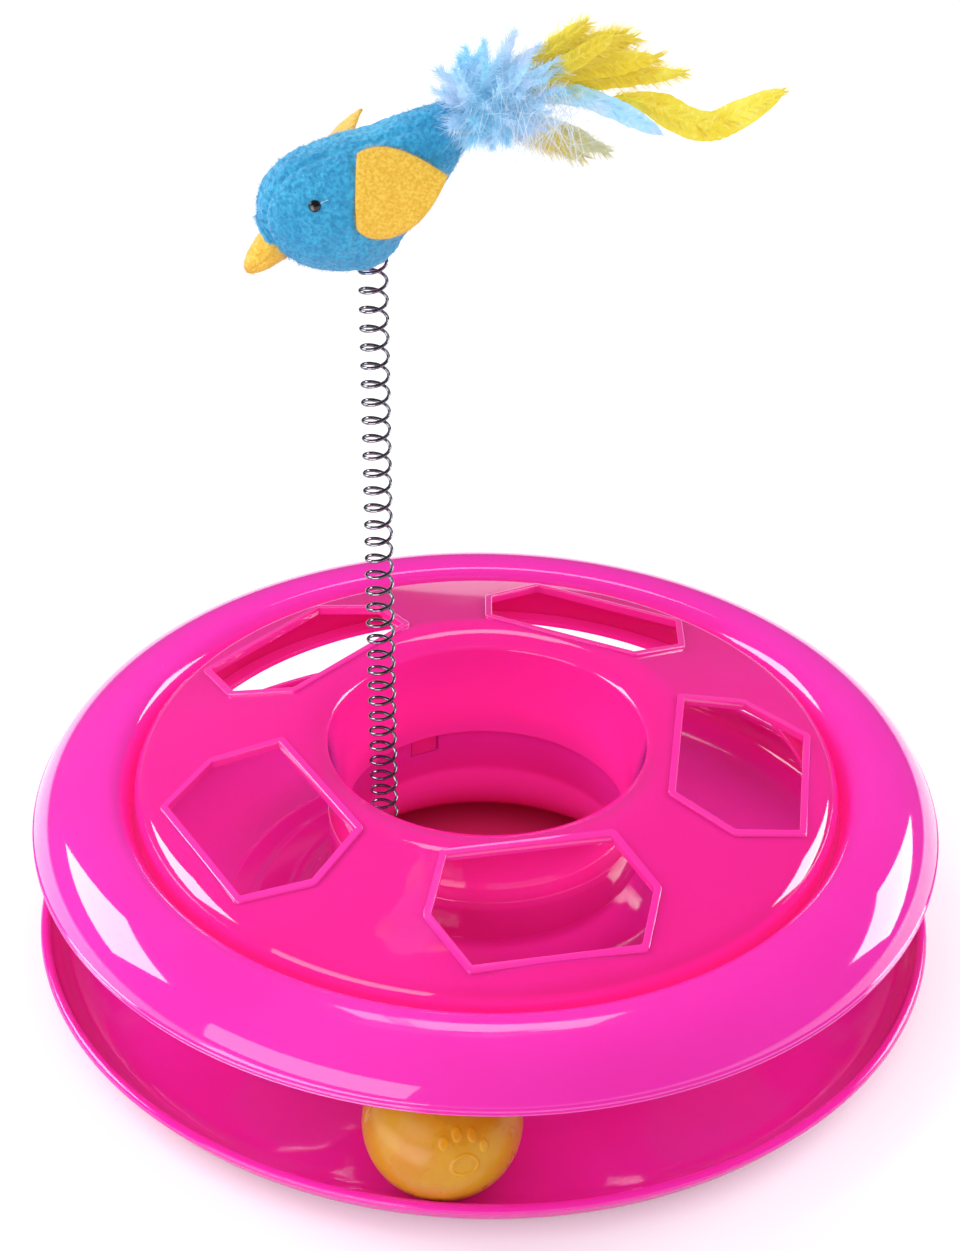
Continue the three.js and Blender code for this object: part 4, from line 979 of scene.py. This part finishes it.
def wing(name, hand, placed, curl, ahead=0.0):
    """A sheet inside the leaf outline: shares of each spoke from the middle, thick inside and round at the rim."""
    root, span = WING_ROOT, WING_SPAN
    outline = np.concatenate([
        bend((0, root / 2), (-0.34 * span, 0.76 * root), (-span, 0.24 * root), 60)[:-1],
        bend((-span, 0.26 * root), (-0.74 * span, -0.5 * root), (-0.3 * span, -0.56 * root), 60)[:-1],
        bend((-0.3 * span, -0.56 * root), (-0.08 * span, -0.58 * root), (0, -0.42 * root), 30)[:-1],
        bend((0, -0.42 * root), (0.03 * span, 0), (0, root / 2), 60)[:-1],
    ])
    middle = np.array([-0.4 * span, 0])
    u = np.linspace(0, 1, SPOKE)
    share = 1 - (1 - u) ** 2
    share = np.concatenate([share, share[-2::-1]])[:, None]
    thick = FELT / 2 * np.sqrt(1 - share ** 24) * np.concatenate([-np.ones(SPOKE), np.ones(SPOKE - 1)])[:, None]
    flat = middle + share[..., None] * (outline - middle)
    raised = thick + 0 * flat[..., 0]
    local = np.stack([flat[..., 0], -raised, flat[..., 1]], -1)
    grain = lumps(local, 0.55, 21) * 0.10 + lumps(local, 1.6, 22) * 0.08
    local[..., 1] += np.sign(-raised) * grain * np.abs(raised) / (FELT / 2)
    local[..., 1] += curl * (flat[..., 0] / span) ** 2 - hand * WING_WRAP * flat[..., 1] ** 2
    root_place = np.array([NECK_AT[0] + ahead, hand * (body_side(*NECK_AT) - WING_SEAM), NECK_AT[1]])
    grid = on_bird(root_place + local @ placed.T)
    rim = grid[SPOKE - 1]
    outward = rim - grid[SPOKE - 6]
    wing_rng = np.random.default_rng(23)
    chosen = wing_rng.integers(0, len(rim), 1100)
    fuzz = fibres(rim[chosen], outward[chosen], 0.5 * MM, 0.03 * MM, 24)
    inner = wing_rng.integers(2, 2 * SPOKE - 4, 1500), wing_rng.integers(0, grid.shape[1], 1500)
    faces_out = np.sign(inner[0] - SPOKE + 0.5)[:, None] * (BIRD_TURN @ (placed @ np.array([0, -1, 0])))
    hair = fibres(grid[inner], faces_out, 0.35 * MM, 0.03 * MM, 25)
    piece = new_piece(name, [joined(grid), fuzz, hair], felt)
    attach(piece, "bird")
    return piece


near_turn = (Matrix.Rotation(-BIRD_PITCH, 3, "Y") @ Matrix.Rotation(-WING_SPREAD, 3, "Z")
             @ Matrix.Rotation(WING_LEAN, 3, "X"))
across = FAR_SPAN.cross(FAR_FACE).normalized()
far_turn = Matrix((-FAR_SPAN, -across.cross(FAR_SPAN), across)).transposed()
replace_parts(wing("felt_wing_near", 1, np.array(near_turn), -1.5), "left_wing")
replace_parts(wing("felt_wing_far", -1, BIRD_TURN.T @ np.array(far_turn), 2.5, 10), "right_wing")


# Beak
# A folded leaf of the same felt, sewn to the face and pointing down with the head.
BEAK_ROOT = (11.5, 20.8)       # ahead and up
BEAK_LENGTH = 14
BEAK_DROP = 3
BEAK_HALF = (5.2, 4.6)         # half width and half height at the root

share = np.concatenate([np.linspace(0, 0.9, 60), 1 - 0.1 * (1 - np.linspace(0.05, 1, 24)) ** 2])[:, None]
angle = full_turn(80)
taper = np.sqrt(np.maximum(1 - share ** 2.2, 0))
fold = 1 - 0.12 * np.exp(-(np.sin(angle) / 0.12) ** 2)
beak_grid = np.stack(np.broadcast_arrays(
    BEAK_ROOT[0] + BEAK_LENGTH * share, BEAK_HALF[0] * taper * np.cos(angle) * fold,
    BEAK_ROOT[1] - BEAK_DROP * share + BEAK_HALF[1] * taper * np.sin(angle)), -1)
beak_out = grid_normals(beak_grid)
beak_grid = beak_grid + beak_out * (lumps(beak_grid, 0.6, 31) * 0.12 + lumps(beak_grid, 2.2, 32) * 0.12)[..., None]
rng = np.random.default_rng(33)
pick = rng.integers(12, 80, 1600), rng.integers(0, 80, 1600)
beak_hair = fibres(on_bird(beak_grid)[pick], beak_out[pick] @ BIRD_TURN.T, 0.4 * MM, 0.03 * MM, 34)
beak = new_piece("felt_beak", [closed_rings(on_bird(beak_grid)), beak_hair], felt)
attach(beak, "bird")
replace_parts(beak, "beak")


# Eyes
# Round black beads pulled into the fleece, with a loose end of the sewing thread behind the near one.
EYE_AT = (1.7, 28)
EYE_RADIUS = 1.55

black_bead = finish("black_bead", lambda place: {
    "Base_Color": place.noise(400, 2).mix(tone(10, 10, 13), tone(24, 24, 28)),
    "Roughness": place.noise(900, 2) * 0.15 + 0.15}, Coat_Weight=0.4, Coat_Roughness=0.05)
white_thread = finish("white_thread", lambda place: {
    "Base_Color": place.noise(2500, 2).step(0.3, 0.7).mix(tone(196, 214, 224), tone(240, 242, 240)),
    "Normal": place.noise(6000, 2).bump(0.05 * MM)}, Roughness=0.9, Sheen_Weight=0.2)

polar = np.linspace(0, math.pi, 40)[:, None]
turn = full_turn(64)
bead = np.stack(np.broadcast_arrays(np.sin(polar) * np.cos(turn), np.cos(polar),
                                    np.sin(polar) * np.sin(turn)), -1)
for name, hand, node in (("bead_eye_near", 1, "left_eye"), ("bead_eye_far", -1, "right_eye")):
    middle = np.array([EYE_AT[0], hand * body_side(*EYE_AT), EYE_AT[1]])
    shell = on_bird(middle + bead * EYE_RADIUS * np.array([1, 0.8, 1]))
    eye = new_piece(name, [joined(shell)], black_bead)
    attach(eye, "bird")
    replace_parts(eye, node)

back = np.linspace(0, 5.2, 40)
ahead = EYE_AT[0] - 1.4 - back
thread_line = np.stack([ahead, body_side(ahead, EYE_AT[1]) + 0.35 + 0.15 * np.sin(back * 2.1),
                        EYE_AT[1] - 0.25 * back + 0.25 * np.sin(back * 1.3)], -1)
thread = tube(on_bird(thread_line), np.array([0, 0, 1.0]), 0.07 * MM, 8)
loose_thread = new_piece("eye_thread", [thread], white_thread)
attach(loose_thread, "bird")


# Feather binding
# The quills are bound together with wound thread, and the stub is pushed into the end of the tail and sewn.
BINDING_RADIUS = 2.1
BINDING_ENDS = (-40, -31)      # ahead of the spring: outside and inside the tail
TAIL_HEIGHT = 22.4
THREAD_TURNS = 26
THREAD_RELIEF = 0.12

along = np.linspace(*BINDING_ENDS, THREAD_TURNS * 10)[:, None]
angle = full_turn(48)
ridge = THREAD_RELIEF * np.abs(np.sin((along - BINDING_ENDS[0]) * math.pi * THREAD_TURNS / 9 + angle / 2))
radius = BINDING_RADIUS - THREAD_RELIEF + ridge
binding_grid = np.stack(np.broadcast_arrays(along, radius * np.cos(angle),
                                            TAIL_HEIGHT + radius * np.sin(angle)), -1)
binding = new_piece("thread_binding", [closed_rings(on_bird(binding_grid))], white_thread)
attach(binding, "bird")
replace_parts(binding, "feather_binding")


# Blue fluff
# A bunch of short marabou feathers, dyed pale blue: soft overlapping lobes of fine barbs with frayed ends, and
# long white hairs that hang out of them.
FEATHER_ROOT_AHEAD = -41.5
FEATHER_TURN = math.radians(12)
QUILL_POINTS = 40
QUILL_TIP = 0.07               # radius where a quill ends
VANE_COLUMNS = 13              # points across a web
VANE_THICKNESS = (0.012, 0.05)   # half thickness at the web's edge, and what its middle adds


def from_root(points, side=0.0, up=0.0):
    """Points counted from where a tuft leaves the binding, as distances back, to the side and up, in metres."""
    root = BIRD_PLACE + BIRD_TURN @ np.array([FEATHER_ROOT_AHEAD, -side, TAIL_HEIGHT + up])
    c, s = math.cos(FEATHER_TURN), math.sin(FEATHER_TURN)
    turned = np.asarray(points, float) @ np.array([[c, s, 0], [-s, c, 0], [0, 0, 1]])
    return (root + turned) * MM


def feather(stations, half_width, barbs, seed, facing=(0, -1, 0.3), sweep=0.75, spread=0.35, root_bare=0.06,
            ragged=0.25, hair=0.07, quill=0.3, tip_share=0.35, web=0.85, fray=0.16, joints=4, web_steps=60):
    """One feather: a tapered quill through its stations, and barbs that leave it on both sides.

    A barb starts square to the quill, leaning to the tip by sweep, and bends further that way. Its length is the
    half width times a swell along the quill, less a ragged part. Barbs cling together in wisps that share a bend.
    Near the quill they lie close as a thin web, which covers that share of the half width, frayed at its edge.
    joints and web_steps are the points along a barb and along the web.
    """
    rng = np.random.default_rng(seed)
    stations = np.asarray(stations, float)
    line = through(stations, np.linspace(0, 1, QUILL_POINTS))
    along = unit(np.gradient(line, axis=0))
    facing = np.asarray(facing, float)
    flat = unit(facing - (along @ facing)[:, None] * along)
    across = np.cross(along, flat)
    at = np.sort(rng.uniform(root_bare, 1, barbs))
    place = at * (QUILL_POINTS - 1)
    pick = np.clip(place.astype(int), 0, QUILL_POINTS - 2)
    between = (place - pick)[:, None]
    start = line[pick] * (1 - between) + line[pick + 1] * between
    hand = np.where(rng.random(barbs) < 0.5, 1.0, -1.0)[:, None]
    wisp = (at * barbs / 9).astype(int) * 2 + (hand[:, 0] > 0)
    shared = rng.normal(0, 1, (wisp.max() + 1, 5))[wisp]
    swell = np.clip(at / 0.18, 0, 1) ** 0.7 * (1 - np.clip((at - 1 + tip_share) / tip_share, 0, 1) ** 2 * 0.55)
    length = half_width * swell * (1 - ragged * rng.random(barbs) - 0.2 * np.abs(shared[:, 0]))
    length = np.maximum(length, 0.2 * half_width)[:, None]
    angle = rng.normal(0, spread, barbs)[:, None]
    out = hand * across[pick] * np.cos(angle) + flat[pick] * np.sin(angle)
    lean = sweep * (0.8 + 0.15 * shared[:, 1:2]) + 1.3 * np.clip(at[:, None] - 0.85, 0, 1) / 0.15
    way = unit(out + along[pick] * lean)
    t = np.linspace(0, 1, joints)[None, :, None]
    bend_way = (along[pick] * (0.35 + 0.12 * shared[:, 2:3]) + flat[pick] * (0.22 * shared[:, 3:4])
                + rng.normal(0, 0.06, (barbs, 3)) + np.array([0, 0, -0.12]))
    paths = start[:, None] + length[:, None] * (way[:, None] * t + bend_way[:, None] * t * t)
    radii = hair * np.broadcast_to(np.linspace(1.2, 0.3, joints), (barbs, joints))
    hairs = strands(paths, flat[pick], radii)
    points, faces = tube(line * MM, flat, np.linspace(quill, QUILL_TIP, QUILL_POINTS) * MM, 8)
    sheet = vane_web(line, across, flat, half_width * web, root_bare, sweep, tip_share, fray, rng, web_steps)
    return [hairs, (points / MM, faces), sheet]


def vane_web(line, across, flat, half_width, root_bare, sweep, tip_share, fray, rng, steps):
    """A thin closed sheet round the quill, drawn back to a V, whose edges are split at random."""
    at = np.linspace(root_bare, 1, steps)
    spot = np.linspace(0, 1, len(line))
    middle, wide, face = (np.stack([np.interp(at, spot, part[:, i]) for i in range(3)], -1)
                          for part in (line, across, flat))
    along = unit(np.gradient(middle, axis=0))
    swell = np.clip((at - root_bare) / 0.12, 0, 1) ** 0.7
    swell = swell * (1 - np.clip((at - 1 + tip_share) / tip_share, 0, 1) ** 2)
    split, other = (1 - fray * 2 * np.abs(lumps(at[:, None] * (18, 0, 0) + (0, 0, seed), 1.0, 51))
                    for seed in rng.uniform(0, 60, 2))
    v = np.concatenate([np.linspace(-1, 1, VANE_COLUMNS), np.linspace(1, -1, VANE_COLUMNS)[1:-1]])
    edge, middle_adds = VANE_THICKNESS
    thick = middle_adds * (1 - v ** 2) * np.where(np.arange(len(v)) < VANE_COLUMNS, 1, -1) + edge
    reach = half_width * swell[:, None] * np.where(v < 0, split[:, None], other[:, None]) * v
    curl = rng.uniform(-0.25, 0.25)
    grid = (middle[:, None] + wide[:, None] * reach[..., None]
            + along[:, None] * (np.abs(reach) * min(sweep, 1.1))[..., None]
            + face[:, None] * (thick + curl * np.abs(reach) * np.abs(v))[..., None])
    return closed_rings(grid)


def tuft(name, node, material, parts, side=0.0, up=0.0):
    """Feathers joined in one piece, put where their quills leave the binding."""
    placed = [(from_root(points, side, up), faces) for points, faces in parts]
    piece = new_piece(name, placed, material)
    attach(piece, "bird")
    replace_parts(piece, node)


def dyed(light, deep, pale):
    """Dyed down: soft patches between two tones, with paler hairs among them."""
    def paint(place):
        patch = place.noise(70, 3).step(0.3, 0.7)
        fine = place.noise(900, 2).step(0.5, 0.8)
        return {"Base_Color": (fine * 0.6).mix(patch.mix(light, deep), pale)}
    return paint


FLUFF_MIDDLE = np.array([5, -3, 5.5])
FLUFF_REACH = np.array([15.5, 11, 13.5])
FLUFF_LOBES = 64
FLUFF_BARBS = 380              # in each lobe
PAINTED_DOWN_GLOW = 0.12               # painted glow, for light that thin down lets through from behind
GOLDEN_TURN = math.pi * (3 - math.sqrt(5))

blue_down = finish("blue_down", dyed(tone(214, 222, 244), tone(158, 220, 242), tone(236, 244, 250)),
                   Roughness=0.9, Sheen_Weight=0.3, Emission_Color=tone(150, 206, 236),
                   Emission_Strength=PAINTED_DOWN_GLOW)
rng = np.random.default_rng(41)
lobes = [[], []]
for i in range(FLUFF_LOBES):
    level = 1 - 2 * (i + 0.5) / FLUFF_LOBES
    turn = GOLDEN_TURN * i
    flat = math.sqrt(1 - level ** 2)
    way = np.array([flat * math.cos(turn), flat * math.sin(turn), level])
    tip = FLUFF_MIDDLE + FLUFF_REACH * way * rng.uniform(0.85, 1.12)
    if tip[0] < -8 and tip[2] < 6:
        continue
    knee = FLUFF_MIDDLE * 0.55 + FLUFF_REACH * way * 0.45 + rng.normal(0, 1.2, 3)
    stations = [(0, 0, 0), knee * 0.5, knee, tip]
    lobes[i % 2] += feather(stations, rng.uniform(5, 7), FLUFF_BARBS, 100 + i,
                            facing=rng.normal(0, 1, 3) + (0, -1, 0.5), spread=0.9, root_bare=0.3, ragged=0.6,
                            quill=0.12, web=0.3, fray=0.3, hair=0.06, joints=3, web_steps=30)
for i, half in enumerate(lobes):
    tuft(f"blue_fluff_{i + 1}", "blue_tuft", blue_down, half, -1.4, 0)

WHITE_HAIRS = 170

white_down = finish("white_down", dyed(tone(226, 236, 246), tone(200, 220, 240), tone(246, 248, 250)),
                    Roughness=0.8, Sheen_Weight=0.3)
start = FLUFF_MIDDLE + np.array([8, -6, 0]) + rng.normal(0, 1, (WHITE_HAIRS, 3)) * np.array([7, 3, 4])
way = rng.normal(0, 1, (WHITE_HAIRS, 3)) * np.array([0.55, 0.45, 0.4]) + np.array([-0.1, -0.3, -0.75])
t = np.linspace(0, 1, 14)[None, :, None]
length = rng.uniform(5, 11, (WHITE_HAIRS, 1, 1))
curl = rng.normal(0, 0.5, (WHITE_HAIRS, 1, 3))
paths = start[:, None] + length * (way[:, None] * t + curl * t * t + np.array([0, 0, -0.15]) * t * t)
radii = 0.075 * np.broadcast_to(np.linspace(1.2, 0.5, 14), (WHITE_HAIRS, 14))
hairs = strands(paths, rng.normal(0, 1, (WHITE_HAIRS, 3)), radii)
tuft("white_hairs", "blue_tuft", white_down, [hairs], -1.4, 0)


# Yellow feathers
# Six broad hackles dyed lemon yellow behind the blue ones, ragged along their upper edge.
YELLOW_FEATHERS = [
    ([(0, 0, 0), (16, 0, 11), (27, 0, 19)], 5.5), ([(0, 0, 0), (19, 0, 10), (36, 0, 15.5)], 6.5),
    ([(0, 0, 0), (22, 0, 7), (45, 0, 9)], 6.5), ([(0, 0, 0), (26, 0, 4), (52, 0, 5)], 5),
    ([(0, 0, 0), (22, 3, 9), (40, 4, 13)], 6), ([(0, 0, 0), (20, -2, 9), (33, -3, 17)], 5),
]
yellow_down = finish("yellow_down", dyed(tone(242, 232, 88), tone(234, 212, 48), tone(248, 244, 160)),
                     Roughness=0.9, Sheen_Weight=0.3, Emission_Color=tone(240, 220, 60),
                     Emission_Strength=0.6 * PAINTED_DOWN_GLOW)
parts = []
for i, (stations, half_width) in enumerate(YELLOW_FEATHERS):
    parts += feather(stations, half_width * 1.2, 1300, 200 + i, facing=(0.1, -1, 0.25 + 0.15 * (i % 3)),
                     spread=0.4, root_bare=0.2, ragged=0.5, web=0.4, fray=0.1, hair=0.055)
tuft("yellow_hackles", "yellow_tuft", yellow_down, parts, -0.3, 0.8)


# Olive feathers
# Four short pale feathers under the tail, olive where the dye is thin, with ragged ends that hang down.
OLIVE_FEATHERS = [
    ([(0, 0, 0), (16, 6, -7), (35, 8, -17)], 4.6), ([(0, 0, 0), (14, 6, -8), (29, 8, -18)], 4.8),
    ([(0, 0, 0), (10, 5, -7), (21, 8, -14)], 4.6), ([(0, 0, 0), (12, 3, -6), (26, 3, -14)], 4.4),
]
olive_down = finish("olive_down", dyed(tone(208, 212, 188), tone(220, 202, 96), tone(236, 236, 220)),
                    Roughness=0.9, Sheen_Weight=0.3, Emission_Color=tone(220, 214, 150),
                    Emission_Strength=PAINTED_DOWN_GLOW)
parts = []
for i, (stations, half_width) in enumerate(OLIVE_FEATHERS):
    parts += feather(stations, half_width * 1.5, 1100, 300 + i, spread=0.4, root_bare=0.25, ragged=0.6, web=0.4,
                     fray=0.2, sweep=1.1, hair=0.055)
tuft("olive_hackles", "olive_tuft", olive_down, parts, 0.7, -1.1)


# Blue plume
# One narrow stiff feather in pale blue, with its barbs lying close.
parts = feather([(0, 0, 0), (24, -3, 2), (46, -4, -9)], 2.9, 620, 400, sweep=1.3, spread=0.12, root_bare=0.3,
                ragged=0.12, web=0.95, fray=0.08, web_steps=120)
tuft("pale_plume", "blue_plume", blue_down, parts, 1.5, 0.3)


# Yellow quill
# The longest feather: a stiff yellow quill whose vane is closed at the tip and split into wisps nearer its root.
parts = feather([(0, 0, 0), (37, 1, -1), (58, 1.5, -9.5), (77.4, 1.5, -2.2)], 4.2, 1150, 500, sweep=1.1,
                spread=0.12, root_bare=0.3, ragged=0.15, quill=0.45, web=0.95, fray=0.04, hair=0.05, web_steps=120)
tuft("long_hackle", "yellow_quill", yellow_down, parts, 0.6, 0.2)
